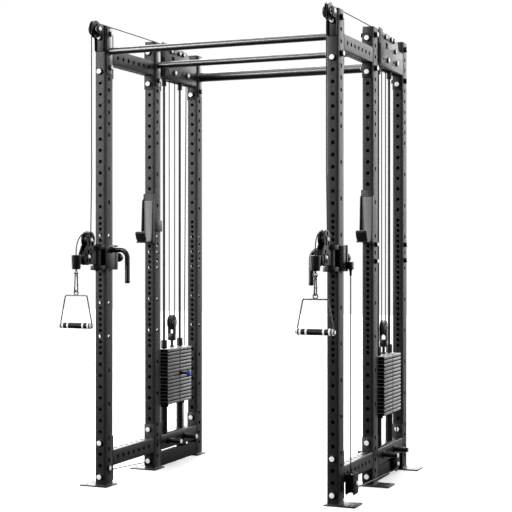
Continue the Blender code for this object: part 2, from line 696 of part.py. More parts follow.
# The machine --------------------------------------------------------------------------------
def build():
    for old in list(bpy.data.objects):
        bpy.data.objects.remove(old)
    black = finish("black_powder_coat", (0.035, 0.036, 0.038), 0.55, 0.0)
    rubber = finish("black_rubber", (0.015, 0.015, 0.016), 0.6, 0.0)
    plastic = finish("black_plastic", (0.02, 0.02, 0.022), 0.4, 0.0)
    chrome = finish("chrome", (0.75, 0.76, 0.78), 0.15, 1.0)
    iron = finish("grey_stack_paint", (0.33, 0.34, 0.35), 0.5, 0.1)
    steel = finish("cable_sheath", (0.35, 0.36, 0.37), 0.45, 0.2)
    blue = finish("blue_plastic", (0.05, 0.15, 0.72), 0.4, 0.0)

    for index, word in enumerate(UPRIGHTS):
        both_sides(f"{word}_upright", upright(index), black)
    both_sides("lower_front_beam", lower_front_beam(), black)
    both_sides("upper_front_beam", upper_front_beam(), black)
    both_sides("lower_rear_beam", lower_rear_beam(), black)
    both_sides("upper_rear_beam", upper_rear_beam(), black)
    both_sides("top_pulley_bracket", top_pulley_bracket(), black)
    both_sides("guide_rods", guide_rods(), black)
    for index, radius in enumerate((0.015, 0.015, 0.0225)):
        add(f"{UPRIGHTS[index]}_cross_bar", cross_bar(index, radius), black)

    both_sides("resting_plates", resting_plates(), iron)
    both_sides("selected_plates", selected_plates(), iron, (0, at(-STACK_Y), LIFT_Z))
    both_sides("selector_pin", selector_pin(), blue, (0, at(-STACK_Y), STACK_LOW + (RESTING + 0.5) * PITCH))
    both_sides("carriage", carriage(), black, (0, at(-TUBE_Y / 2), PIN_Z))
    both_sides("pop_pin", pop_pin(), plastic, (0, at(-0.064), PIN_Z))
    both_sides("swivel_arm", swivel_arm(), black, (0, at(PIVOT_F), LOWER_WHEEL[1]))
    both_sides("cable_stop", cable_stop(), rubber, (0, at(HANG_F), 1.032))
    both_sides("carabiner", carabiner(), chrome, (0, at(HANG_F), 0.953))
    both_sides("pull_handle", pull_handle(), rubber, (0, at(HANG_F), 0.8725))
    both_sides("j_cup", j_cup(), black, (0, post_y(1), 1.295))

    wheels = (("upper_trolley_wheel", UPPER_WHEEL, 0.0), ("lower_trolley_wheel", LOWER_WHEEL, 0.0),
              ("top_front_wheel", TOP_WHEEL, 0.0), ("top_rear_wheel", TOP_REAR, 0.0),
              ("base_front_wheel", BASE_FRONT, BASE_FRONT_X - 0.003),
              ("base_rear_wheel", BASE_REAR, BASE_REAR_X), ("lift_wheel", (-STACK_Y, LIFT_Z), 0.0))
    for name, (forward, z), x in wheels:
        both_sides(name, wheel(forward, z, x), plastic, (x, at(forward), z))
    forward, z = RETURN_WHEEL
    big = wheel(forward, z, 0.0, RETURN_R, RETURN_GROOVE, 18)
    both_sides("return_wheel", big, plastic, (0, at(forward), z))
    both_sides("cable", pipe(cable_route(), CABLE_R, 6), steel)


build()
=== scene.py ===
"""Visual model of a cable crossover machine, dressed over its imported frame.

Each piece of one side is modelled in side coordinates, x running outward from the centre plane
of that side frame, and is then placed on the right and mirrored on the left. Distances called
forward are measured from the front face of the front upright. Everything is in metres.
"""
import math

import bmesh
import bpy
from mathutils import Matrix, Vector

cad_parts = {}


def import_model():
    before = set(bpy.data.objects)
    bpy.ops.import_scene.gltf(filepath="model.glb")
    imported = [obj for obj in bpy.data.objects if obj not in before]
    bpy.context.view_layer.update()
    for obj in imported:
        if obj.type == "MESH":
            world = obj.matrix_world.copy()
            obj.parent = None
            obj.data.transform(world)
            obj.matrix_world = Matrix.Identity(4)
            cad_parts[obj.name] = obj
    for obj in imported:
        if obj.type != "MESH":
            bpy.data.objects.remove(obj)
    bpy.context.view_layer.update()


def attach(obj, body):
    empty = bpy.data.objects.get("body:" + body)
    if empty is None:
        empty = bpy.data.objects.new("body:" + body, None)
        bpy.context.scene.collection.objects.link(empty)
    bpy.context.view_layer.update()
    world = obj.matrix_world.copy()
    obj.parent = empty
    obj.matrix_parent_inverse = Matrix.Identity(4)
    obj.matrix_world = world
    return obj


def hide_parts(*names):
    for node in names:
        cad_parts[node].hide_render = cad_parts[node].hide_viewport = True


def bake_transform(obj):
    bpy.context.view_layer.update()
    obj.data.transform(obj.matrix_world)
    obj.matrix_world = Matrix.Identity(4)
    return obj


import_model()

# The camera's sensor in millimetres, and its picture's side, focal length and shift in pixels
SENSOR = 36
PICTURE = 512
FOCAL = 1270
SHIFT = -7.7
FRONT_LIGHT = 0.25
BACK_LIGHT = 6.4
LOW_LIGHT = 0.06

# Driving dimensions, the same as the CAD's ------------
SIDE_X = 0.546
BAY = 0.471
FRONT_Y = -0.401
HEIGHT = 2.048
TUBE_X = 0.050
TUBE_Y = 0.070
WALL = 0.003
CORNER = 0.0035
FOOT = 0.006
BEAM_LOW = 0.085
BEAM_HIGH = 1.884
BOLT_LOW = (0.045, 0.195)
BOLT_HIGH = (1.845, 1.995)
BAR_BOLTS = (1.865, 2.015)
BAR_Z = 1.938
HOLE_R = 0.0086
SIDE_HOLE_R = 0.0098
PIN_Z = 1.020
PEG_Z = 0.121
CABLE_R = 0.0025
GROOVE = 0.030
WHEEL_R = 0.0375
RETURN_GROOVE = 0.066
RETURN_R = 0.0735
STACK_Y = 0.711
ROD_STEP = 0.087
PITCH = 0.017
STACK_LOW = 0.3003
LIFT_Z = 0.693
SLEEVE_LOW = 0.964
SLEEVE_TOP = 1.074
PIVOT_F = 0.030
UPPER_WHEEL = (0.106, 1.097)
LOWER_WHEEL = (0.128, 1.024)
TOP_WHEEL = (0.046, 2.026)
TOP_REAR = (-0.651, 2.026)
RETURN_WHEEL = (-0.807, 1.980)
BASE_FRONT = (-0.125, 0.079)
BASE_REAR = (-0.843, 0.0455)
BASE_FRONT_X = 0.046
BASE_REAR_X = 0.015
HANG_F = 0.207
GRIP_Z = 0.7286
HALF_STACK = 8


def at(forward):
    return FRONT_Y - forward


def post_y(index):
    return FRONT_Y + index * BAY


# Shapes ------------
def to_mesh(bm):
    bmesh.ops.recalc_face_normals(bm, faces=bm.faces)
    mesh = bpy.data.meshes.new("shape")
    bm.to_mesh(mesh)
    bm.free()
    return mesh


def put(name, data):
    """A new object in the scene that holds a mesh, a curve, a lamp or a camera."""
    made = bpy.data.objects.new(name, data)
    bpy.context.collection.objects.link(made)
    return made


def block(x0, x1, y0, y1, z0, z1, bevel=0.001, along=None, segments=2):
    """A box; its edges are rounded, or only those that run along one axis."""
    bm = bmesh.new()
    bmesh.ops.create_cube(bm, size=1.0)
    size = Vector((x1 - x0, y1 - y0, z1 - z0))
    middle = Vector((x0 + x1, y0 + y1, z0 + z1)) / 2
    bmesh.ops.transform(bm, matrix=Matrix.Translation(middle) @ Matrix.Diagonal(size.to_4d()), verts=bm.verts)
    edges = list(bm.edges)
    if along is not None:
        edges = [e for e in bm.edges if abs((e.verts[0].co - e.verts[1].co)[along]) > 1e-6]
    if bevel:
        bmesh.ops.bevel(bm, geom=edges, offset=bevel, segments=segments, affect="EDGES", profile=0.5)
    return to_mesh(bm)


def axes_of(axis):
    if axis == "X":
        return Vector((1, 0, 0)), Vector((0, 1, 0)), Vector((0, 0, 1))
    if axis == "Y":
        return Vector((0, 1, 0)), Vector((0, 0, 1)), Vector((1, 0, 0))
    return Vector((0, 0, 1)), Vector((1, 0, 0)), Vector((0, 1, 0))


def turned(axis, centre, profile, sides=32):
    """Turn a profile of (radius, distance along the axis); a radius of 0 is a tip."""
    main, across, up = axes_of(axis)
    centre = Vector(centre)
    bm = bmesh.new()
    rings = []
    for radius, along in profile:
        if radius == 0:
            rings.append([bm.verts.new(centre + main * along)])
            continue
        ring = []
        for k in range(sides):
            angle = 2 * math.pi * (k + 0.5) / sides
            ring.append(bm.verts.new(centre + main * along + across * (radius * math.cos(angle))
                                     + up * (radius * math.sin(angle))))
        rings.append(ring)
    pairs = list(zip(rings, rings[1:]))
    if profile[0][0] and profile[-1][0]:
        pairs.append((rings[-1], rings[0]))
    for a, b in pairs:
        for k in range(sides):
            n = (k + 1) % sides
            corners = [a[k % len(a)], a[n % len(a)], b[n % len(b)], b[k % len(b)]]
            bm.faces.new(list(dict.fromkeys(corners)))
    return to_mesh(bm)


def rod(axis, centre, radius, low, high, sides=24, edge=0.0):
    """A round bar with slightly broken edges."""
    if not edge:
        return turned(axis, centre, [(0, low), (radius, low), (radius, high), (0, high)], sides)
    profile = [(0, low), (radius - edge, low), (radius, low + edge), (radius, high - edge),
               (radius - edge, high), (0, high)]
    return turned(axis, centre, profile, sides)


def sided(way, profile):
    """A turned profile drawn for the +X side, put on the side that way gives, +1 or -1."""
    return [(radius, way * along) for radius, along in profile]


def before(y, points):
    """An outline given as distances in front of y, and heights."""
    return [(y - ahead, z) for ahead, z in points]


def slab(axis, outline, low, high, bevel=0.0008):
    """Extrude an outline across an axis, between two distances along it."""
    main, across, up = axes_of(axis)
    bm = bmesh.new()
    face = bm.faces.new([bm.verts.new(main * low + across * a + up * b) for a, b in outline])
    rim = list(face.edges)
    moved = bmesh.ops.extrude_face_region(bm, geom=[face])["geom"]
    bmesh.ops.translate(bm, vec=main * (high - low),
                        verts=[v for v in moved if isinstance(v, bmesh.types.BMVert)])
    if bevel:
        far = [e for e in bm.edges if all(abs((v.co @ main) - high) < 1e-7 for v in e.verts)]
        bmesh.ops.bevel(bm, geom=rim + far, offset=bevel, segments=2, affect="EDGES", profile=0.5)
    return to_mesh(bm)


def ring(axis, centre, major, minor, sides=32, tube=12):
    profile = [(major + minor * math.cos(2 * math.pi * k / tube), minor * math.sin(2 * math.pi * k / tube))
               for k in range(tube)]
    return turned(axis, centre, profile, sides)


def arc(centre, radius, start, end, steps):
    """Points of (a, b) round a centre, angles in degrees."""
    return [(centre[0] + radius * math.cos(math.radians(start + (end - start) * k / steps)),
             centre[1] + radius * math.sin(math.radians(start + (end - start) * k / steps)))
            for k in range(steps + 1)]


def pipe(points, radius, sides=12, closed=False):
    """A round tube along a line of points."""
    curve = bpy.data.curves.new("pipe", "CURVE")
    curve.dimensions = "3D"
    curve.bevel_depth = radius
    curve.bevel_resolution = (sides - 4) // 2
    curve.use_fill_caps = True
    spline = curve.splines.new("POLY")
    spline.points.add(len(points) - 1)
    for point, place in zip(spline.points, points):
        point.co = (*place, 1)
    spline.use_cyclic_u = closed
    holder = put("pipe", curve)
    mesh = evaluated(holder)
    bpy.data.objects.remove(holder)
    bpy.data.curves.remove(curve)
    return mesh


def evaluated(holder):
    bpy.context.view_layer.update()
    graph = bpy.context.evaluated_depsgraph_get()
    return bpy.data.meshes.new_from_object(holder.evaluated_get(graph))


def joined(meshes):
    bm = bmesh.new()
    for mesh in meshes:
        bm.from_mesh(mesh)
    return to_mesh(bm)


def cut(mesh, *groups):
    """Cut away groups of cutters; the cutters within one group don't touch each other."""
    holder = put("cut", mesh)
    used = [holder]
    for group in groups:
        tool = put("tool", joined(group))
        used.append(tool)
        boolean = holder.modifiers.new("cut", "BOOLEAN")
        boolean.operation = "DIFFERENCE"
        boolean.solver = "EXACT"
        boolean.object = tool
    result = evaluated(holder)
    for piece in used:
        bpy.data.objects.remove(piece)
    return result


def softened(mesh, width, segments=2):
    """Round every sharp edge of a mesh."""
    holder = put("soft", mesh)
    bevel = holder.modifiers.new("bevel", "BEVEL")
    bevel.width = width
    bevel.segments = segments
    bevel.limit_method = "ANGLE"
    bevel.angle_limit = math.radians(40)
    result = evaluated(holder)
    bpy.data.objects.remove(holder)
    return result


# Materials ------------
def feed(node, values):
    """Set a node's sockets by name."""
    for name, value in values.items():
        node.inputs[name].default_value = value


class Look:
    """A procedural material built round one Principled shader."""

    def __init__(self, name, colour, roughness, metallic=0.0, coat=0.0, specular=0.5):
        self.material = bpy.data.materials.new(name)
        self.material.use_nodes = True
        tree = self.material.node_tree
        self.new = tree.nodes.new
        self.link = tree.links.new
        self.shader = tree.nodes["Principled BSDF"]
        self.colour = colour
        self.roughness = roughness
        feed(self.shader, {"Base Color": (*colour, 1), "Roughness": roughness, "Metallic": metallic,
                           "Coat Weight": coat, "Specular IOR Level": specular})
        self.where = self.new("ShaderNodeTexCoord").outputs["Object"]

    def noise(self, scale, detail=3.0, roughness=0.55):
        node = self.new("ShaderNodeTexNoise")
        feed(node, {"Scale": scale, "Detail": detail, "Roughness": roughness})
        self.link(self.where, node.inputs["Vector"])
        return node.outputs["Fac"]

    def vary_colour(self, scale, spread):
        """Mottle the colour a little, spread being the change at each end."""
        ramp = self.new("ShaderNodeValToRGB")
        ramp.color_ramp.elements[0].position = 0.3
        ramp.color_ramp.elements[1].position = 0.7
        ramp.color_ramp.elements[0].color = (*[c * (1 - spread) for c in self.colour], 1)
        ramp.color_ramp.elements[1].color = (*[min(1, c * (1 + spread)) for c in self.colour], 1)
        self.link(self.noise(scale), ramp.inputs["Fac"])
        self.link(ramp.outputs["Color"], self.shader.inputs["Base Color"])
        return self

    def vary_roughness(self, scale, spread):
        reach = self.new("ShaderNodeMapRange")
        feed(reach, {"From Min": 0.3, "From Max": 0.7, "To Min": max(0.02, self.roughness - spread),
                     "To Max": min(1.0, self.roughness + spread)})
        self.link(self.noise(scale), reach.inputs["Value"])
        self.link(reach.outputs["Result"], self.shader.inputs["Roughness"])
        return self

    def bump(self, scale, strength, depth=0.0003, detail=2.0):
        node = self.new("ShaderNodeBump")
        feed(node, {"Strength": strength, "Distance": depth})
        self.link(self.noise(scale, detail), node.inputs["Height"])
        self.link(node.outputs["Normal"], self.shader.inputs["Normal"])
        return self

    def glow(self, strength):
        feed(self.shader, {"Emission Color": (1, 1, 1, 1), "Emission Strength": strength})
        return self


POWDER = Look("powder_coat", (0.012, 0.012, 0.0125), 0.40).vary_colour(900, 0.35).vary_roughness(300, 0.06) \
    .bump(1100, 0.5, 0.0004).material
SATIN = Look("satin_black", (0.006, 0.006, 0.007), 0.32).vary_roughness(150, 0.06) \
    .bump(700, 0.12, 0.0002).material
GLOSS = Look("gloss_black", (0.006, 0.006, 0.007), 0.24, specular=0.9).vary_roughness(120, 0.04).material
RUBBER = Look("black_rubber", (0.008, 0.008, 0.009), 0.36).vary_roughness(120, 0.06) \
    .bump(500, 0.2, 0.0003).material
NYLON = Look("wheel_nylon", (0.006, 0.006, 0.007), 0.32).vary_roughness(200, 0.05) \
    .bump(400, 0.08, 0.0002).material
# The zinc glows a little: a painted highlight, so the bright zinc parts stay bright whatever faces them.
GLOWING_ZINC = Look("zinc_with_painted_glow", (0.93, 0.93, 0.92), 0.36, 0.12).vary_colour(500, 0.05).vary_roughness(350, 0.06) \
    .glow(0.34).material
# A darker, duller copy of the black powder coat: painted shade, used on the base wheel housing and the floor
# tube.
SHADED_POWDER = Look("shaded_powder_black", (0.007, 0.007, 0.0075), 0.60, specular=0.22).vary_roughness(120, 0.06).material
BAR = Look("bar_black", (0.20, 0.20, 0.203), 0.34, 1.0).vary_roughness(60, 0.03).material
STEEL = Look("dark_steel", (0.16, 0.165, 0.17), 0.20, 1.0).vary_roughness(60, 0.04).material
IRON = Look("stack_grey", (0.42, 0.422, 0.426), 0.36).vary_colour(45, 0.10).vary_roughness(260, 0.08) \
    .bump(700, 0.25, 0.0003).material
SHEATH = Look("cable_sheath", (0.012, 0.012, 0.013), 0.45).vary_roughness(300, 0.05) \
    .bump(900, 0.2, 0.0002).material
LINER = Look("grey_liner", (0.34, 0.34, 0.335), 0.45).vary_colour(60, 0.05).vary_roughness(180, 0.05) \
    .bump(500, 0.15, 0.0002).material
BLUE = Look("blue_cap", (0.035, 0.13, 0.70), 0.32, coat=0.3).vary_roughness(120, 0.04).material
# Near-black with little gloss, for painted shade: the dark fillings, patches and strips put where holes, gaps
# and recesses lie in shade.
PAINTED_SHADE = Look("painted_shade_black", (0.004, 0.004, 0.004), 0.8, specular=0.06).vary_roughness(100, 0.05).material


# Placing ------------
def piece(name, mesh, material, body, slot, *nodes):
    mesh.materials.clear()
    mesh.materials.append(material)
    mesh.shade_smooth()
    mesh.set_sharp_from_angle(angle=math.radians(32))
    made = put(name, mesh)
    if isinstance(body, tuple):
        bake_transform(made)
    else:
        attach(made, body)
    if nodes:
        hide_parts(*nodes)
    return made


def both(name, mesh, material, body, slot, *nodes):
    """Place a side piece on the right, and its mirror image on the left.

    A body of None is the frame, a pair of names with two points is a stretch between bodies."""
    for word, sign in (("right", 1), ("left", -1)):
        copy = mesh.copy()
        copy.transform(Matrix.Translation((SIDE_X, 0, 0)))
        copy.transform(Matrix.Diagonal((sign, 1, 1, 1)))
        if sign < 0:
            copy.flip_normals()
        if body is None:
            rides = "frame"
        elif isinstance(body, tuple):
            ends = [b if b == "frame" else f"{word}_{b}" for b in body[:2]]
            points = [(sign * (SIDE_X + p[0]), p[1], p[2]) for p in body[2:]]
            rides = (*ends, *points)
        else:
            rides = f"{word}_{body}"
        piece(f"{word}_{name}", copy, material, rides, slot, *[f"{word}_{n}" for n in nodes])


# Uprights ------------
def face_holes():
    """Heights of the holes through the front and back of an upright."""
    coarse = [0.045 + 0.05 * k for k in range(40)]
    fine = [0.620 + 0.05 * k for k in range(12)]
    taken = BOLT_LOW + BOLT_HIGH
    heights = sorted(coarse + fine)
    return [z for z in heights if z < 1.89 and all(abs(z - t) > 0.01 for t in taken)]


def flank_holes(index):
    """Heights of the holes through the sides of an upright."""
    heights = [2.015 - 0.05 * k for k in range(10)] + [1.415 - 0.15 * k for k in range(9)]
    heights += [0.165, 0.115, 0.065]
    if index:
        heights += [1.0775, 1.040, 1.0025]
    return [z for z in sorted(set(heights)) if all(abs(z - t) > 0.012 for t in BAR_BOLTS)]


def upright(index):
    y0 = post_y(index)
    y1 = y0 + TUBE_Y
    middle = (y0 + y1) / 2
    half = TUBE_X / 2
    tube = block(-half, half, y0, y1, FOOT - 0.0005, HEIGHT, CORNER, along=2, segments=3)
    hollow = block(-half + WALL, half - WALL, y0 + WALL, y1 - WALL, FOOT + 0.001, HEIGHT - WALL, 0.002,
                   along=2)
    through = [rod("Y", (0, middle, z), HOLE_R, -0.06, 0.06, 16) for z in face_holes()]
    across = [rod("X", (0, middle, z), SIDE_HOLE_R, -0.06, 0.06, 16) for z in flank_holes(index)]
    tube = cut(tube, [hollow], through, across)
    plate = block(-half - 0.012, 0.100, y0 - 0.012, y1 + 0.018, 0, FOOT, 0.0012)
    plate = cut(plate, [rod("Z", (x, y, 0), 0.006, -0.01, 0.02, 16)
                        for x, y in ((0.072, y0 + 0.010), (0.072, y1 - 0.006))])
    weld = pipe([(-half, y0, FOOT), (half, y0, FOOT), (half, y1, FOOT), (-half, y1, FOOT)], 0.0025, 8,
                closed=True)
    return joined([tube, plate, weld])


# Beams ------------
def end_plate(y, low, high):
    return block(-0.025, 0.025, y, y + 0.006, low, high, 0.0012)


def beam_between(first, low, plates, floor_plates=None):
    """A beam from one upright to the next, with rows of holes in its sides."""
    start = post_y(first) + TUBE_Y + 0.0003
    end = post_y(first + 1) - 0.0063
    tube = block(-0.025, 0.025, start + 0.002, end + 0.004, low, low + TUBE_Y, CORNER, along=1, segments=3)
    hollow = block(-0.022, 0.022, start + 0.006, end, low + WALL, low + TUBE_Y - WALL, 0.002, along=1)
    centre = (start + end) / 2
    row = [centre + 0.05 * (k - 3) for k in range(7)]
    across = [rod("X", (0, y, low + 0.035), SIDE_HOLE_R, -0.06, 0.06, 16) for y in row]
    if first:
        tube = cut(tube, [hollow])
    else:
        upright_holes = [rod("Z", (0, y + 0.025, low + 0.035), HOLE_R, -0.06, 0.06, 16) for y in row[:-1]]
        tube = cut(tube, [hollow], across, upright_holes)
    return tube, [end_plate(start, *plates), end_plate(end, *plates)]


def rail_shade_fill():
    """Painted shade: a dark filling inside the two front rails, seen through their holes, where the hollow
    rails are in shade.
    """
    start, end = post_y(0) + TUBE_Y + 0.008, post_y(1) - 0.008
    return joined([block(-0.0212, 0.0212, start, end, low + 0.0038, low + TUBE_Y - 0.0038, 0.0)
                   for low in (BEAM_LOW, BEAM_HIGH)])


def axle_end(x, forward, z, way, radius=0.0105):
    """A bolt head on the end of an axle: a dark flange with a bright hexagon."""
    y = at(forward)
    flange = turned("X", (x, y, z), sided(way, [(0, 0), (radius + 0.0015, 0), (radius + 0.0015, 0.0016),
                                                (radius, 0.0022), (0, 0.0022)]), 28)
    head = softened(rod("X", (x, y, z), radius * 0.86, *sorted((way * 0.002, way * 0.0075)), 6), 0.0007)
    return flange, head


def axle_ends(ends, others=()):
    """Several axle ends joined: the dark parts, which the others join, and the bright parts."""
    flanges, heads = zip(*[axle_end(*end) for end in ends])
    return joined([*flanges, *others]), joined(heads)


def frame_bolts():
    """Every bolt of one side frame: dark collars and bright faces, which paint the reflection of polished
    bolt heads, a painted dark reflection on the sides and a painted highlight on the faces.
    """
    collars = []
    faces = []

    def stud(axis, place, surface, way, radius=0.0125, out=0.0115):
        body = [(0, 0), (radius + 0.0022, 0), (radius + 0.0022, 0.0018), (radius, 0.0026),
                (radius, out - 0.001), (radius - 0.0012, out), (0, out)]
        cap = [(0, out - 0.002), (radius - 0.0016, out - 0.002), (radius - 0.0016, out + 0.0003),
               (radius - 0.0030, out + 0.0016), (0, out + 0.0020)]
        for made, profile in ((collars, body), (faces, cap)):
            made.append(turned(axis, place, [(size, surface + way * along) for size, along in profile], 32))

    for z in BOLT_LOW + BOLT_HIGH:
        if z == BOLT_HIGH[1]:
            stud("Y", (0, 0, z), FRONT_Y - 0.0048, -1, 0.0105, 0.0090)
        else:
            stud("Y", (0, 0, z), FRONT_Y - 0.0003, -1)
        for index in (1, 2):
            stud("Y", (0, 0, z), post_y(index) - 0.0063, -1)
        stud("Y", (0, 0, z), post_y(2) + TUBE_Y + 0.0003, 1, 0.0105, 0.0100)
        stud("Y", (0, 0, z), post_y(1) + TUBE_Y + 0.0063, 1, 0.0100, 0.0090)
        stud("Y", (0, 0, z), post_y(0) + TUBE_Y + 0.0063, 1, 0.0100, 0.0090)
    for index in range(3):
        middle = post_y(index) + TUBE_Y / 2
        for z in BAR_BOLTS:
            stud("X", (0, middle, z), 0.0253, 1)
            stud("X", (0, middle, z), -0.0316, -1, 0.0105, 0.0095)
    for index in (1, 2):
        middle = post_y(index) + TUBE_Y / 2
        for z in (1.0775, 1.0025):
            stud("X", (0, middle, z), 0.0253, 1, 0.0105, 0.012)
    stud("X", (0, post_y(0) + TUBE_Y / 2, 0.080), -0.0253, -1, 0.0110, 0.006)
    return joined(collars), joined(faces)


def lower_front_beam():
    tube, plates = beam_between(0, BEAM_LOW, (0.020, 0.220))
    y = at(BASE_FRONT[0])
    z = BASE_FRONT[1]
    outline = [(y - 0.0405, z - 0.036), (y - 0.034, z - 0.0470), (y + 0.020, z - 0.0470),
               (y + 0.030, z - 0.034), (y + 0.030, z + 0.040), (y - 0.0405, z + 0.040)]
    cheeks = [slab("X", outline, low, low + 0.0034) for low in (0.0250, 0.0577)]
    front = block(0.026, 0.060, y - 0.0410, y - 0.0392, z - 0.035, z + 0.0395, 0.0006)
    bridge = block(0.026, 0.060, y + 0.004, y + 0.0295, z + 0.0375, z + 0.0408, 0.0008)
    housing = joined(cheeks + [front, bridge])
    return joined([tube] + plates), housing


def lower_rear_beam():
    tube, plates = beam_between(1, BEAM_LOW, (0.0066, 0.220))
    start = post_y(1) + TUBE_Y
    floor_end = at(BASE_REAR[0]) - 0.083
    floor = block(-0.0245, 0.0148, start + 0.004, floor_end, 0.0070, 0.0705, 0.004, along=1, segments=3)
    cable_y = at(BASE_REAR[0]) + GROOVE
    tube = cut(tube, [block(0.006, 0.0235, cable_y - 0.010, cable_y + 0.010, 0.0825, 0.17, 0.0)])
    y = at(BASE_REAR[0])
    outline = [(y - 0.028, 0.030), (y - 0.018, 0.026), (y + 0.026, 0.026), (y + 0.037, 0.036),
               (y + 0.037, 0.0855), (y - 0.028, 0.0855)]
    inner = slab("X", outline, 0.0026, 0.0055)
    tall = [(a, b if b < 0.08 else 0.103) for a, b in outline]
    outer = slab("X", tall, 0.0250, 0.0278)
    narrow = block(-0.0242, -0.0008, floor_end - 0.004, post_y(2) - 0.0063 + 0.003, 0.0073, 0.0702, 0.003,
                   along=1, segments=3)
    return joined([tube] + plates), joined([floor, narrow, inner, outer])


def storage_pegs():
    """Two plate pegs through the lower rear beam, and their bright ends."""
    bar = [(0, 0.020), (0.0110, 0.020), (0.0110, 0.0925), (0.0102, 0.094), (0, 0.094)]
    collar = [(0, 0.0250), (0.0175, 0.0250), (0.0175, 0.0280), (0.0160, 0.0300), (0, 0.0300)]
    end = [(0, 0.0930), (0.0098, 0.0930), (0.0098, 0.0955), (0.0086, 0.0968), (0, 0.0968)]
    bars, ends = [], []
    for y in rod_places():
        for way in (-1, 1):
            bars += [turned("X", (0, y, PEG_Z), sided(way, profile), 28) for profile in (bar, collar)]
            ends.append(turned("X", (0, y, PEG_Z), sided(way, end), 28))
    return joined(bars), joined(ends)


def upper_rear_beam():
    tube, plates = beam_between(1, BEAM_HIGH, (1.820, 2.020))
    slot = block(-0.011, 0.011, FRONT_Y + 0.668, FRONT_Y + 0.892, 1.85, 1.95, 0.0)
    return joined([cut(tube, [slot])] + plates)


def pulley_plates():
    """Stepped plates on both faces of the rear top beam, which carry the wheels between them."""
    low = BEAM_HIGH + 0.0035
    outline = [(0.5485, low), (0.5485, 2.050), (0.5510, 2.0550), (0.5560, 2.0575), (0.5980, 2.0595),
               (0.6040, 2.0575), (0.6150, 2.0455), (0.6200, 2.0435), (0.8130, 2.0415), (0.8210, 2.0390),
               (0.8430, 2.0290), (0.8470, 2.0240), (0.8590, 1.9980), (0.8640, 1.9930), (0.9310, 1.9895),
               (0.9345, 1.9860), (0.9345, low)]
    points = [(FRONT_Y + y, z) for y, z in outline]
    made = []
    for low, high in ((-0.0279, -0.0250), (0.0250, 0.0279)):
        plate = slab("X", points, low, high)
        openings = [slab("X", [(FRONT_Y + y, z) for y, z in arc((0.670, 1.996), 0.0065, 0, 180, 8)
                               + arc((0.670, 1.982), 0.0065, 180, 360, 8)], low - 0.01, high + 0.01, 0)]
        openings += [rod("X", (0, FRONT_Y + y, z), 0.0070, low - 0.01, high + 0.01, 16)
                     for y, z in ((0.606, 2.026), (0.622, 1.9226), (0.775, 1.9257))]
        made.append(cut(plate, openings))
    return joined(made)


def plate_slot_shade():
    """Painted shade: dark patches at the slots and along the front edge of the stepped plates, on both faces.
    """
    made = []
    for way in (-1, 1):
        near, far = sorted((way * 0.0270, way * 0.0284))
        for y0, y1, z0, z1 in ((0.6560, 0.6840, 2.013, 2.042), (0.6570, 0.6830, 1.974, 2.002),
                               (0.5487, 0.5780, 1.893, 1.987)):
            made.append(block(near, far, FRONT_Y + y0, FRONT_Y + y1, z0, z1, 0))
    return joined(made)


def upper_axles():
    collars, heads = [], []
    places = (TOP_REAR, RETURN_WHEEL, (-0.690, 1.924), (-0.832, 1.928), (-0.740, 2.026), (-0.785, 2.026))
    for way in (-1, 1):
        for forward, z in places:
            flange, head = axle_end(way * 0.0279, forward, z, way, 0.0125 if z < 1.95 else 0.0100)
            collars.append(flange)
            nut = sorted((way * 0.0270, way * 0.0330))
            collars.append(rod("X", (0, at(forward), z), 0.0112, *nut, 28, 0.0006))
            heads.append(head)
    for forward, z in (TOP_REAR, RETURN_WHEEL):
        collars.append(rod("X", (0, at(forward), z), 0.006, -0.029, 0.029))
    return joined(collars), joined(heads)


# Cross bars ------------
def cross_bar(index, radius):
    middle = post_y(index) + TUBE_Y / 2
    inner = SIDE_X - TUBE_X / 2 - 0.0003
    solids = [rod("X", (0, middle, BAR_Z), radius, -inner + 0.003, inner - 0.003, 40)]
    for sign in (-1, 1):
        near, far = sorted((sign * (inner - 0.0035), sign * inner))
        solids.append(block(near, far, middle - 0.0240, middle + 0.0240, 1.836, 2.040, 0.0010))
        solids.append(ring("X", (sign * (inner - 0.0035), middle, BAR_Z), radius + 0.0005, 0.0026, 40, 8))
    return joined(solids)


# Wheels ------------
def wheel(forward, z, x, radius=WHEEL_R, groove=GROOVE, spokes=6):
    """A grooved wheel with lightening holes, and its bearing."""
    half = 0.009
    floor = groove - CABLE_R - 0.0003
    web = 0.0055
    hub = 0.0125
    inside = floor - 0.0045
    profile = [(0.0072, -half), (hub, -half), (hub + 0.001, -half + 0.001), (hub + 0.0015, -web),
               (inside - 0.001, -web), (inside, -half + 0.0005), (inside + 0.0005, -half),
               (radius - 0.0008, -half), (radius, -half + 0.0006), (radius, -half + 0.0016),
               (floor + 0.0025, -0.0042), (floor + 0.0007, -0.0026), (floor, 0)]
    mirrored = [(r, -a) for r, a in reversed(profile[:-1])]
    body = turned("X", (x, at(forward), z), profile + mirrored, 48)
    middle_radius = (hub + inside) / 2
    size = min((inside - hub) / 2 - 0.0012, middle_radius * math.sin(math.pi / spokes) - 0.0020)
    holes = [rod("X", (x, at(forward) + a, z + b), size, -0.03, 0.03, 16)
             for a, b in (arc((0, 0), middle_radius, 360 * k / spokes, 0, 1)[0] for k in range(spokes))]
    edge = half + 0.0003
    bearing = [(0.0070, -edge), (0.0110, -edge), (0.0110, edge), (0.0070, edge)]
    return cut(body, holes), turned("X", (x, at(forward), z), bearing, 32)


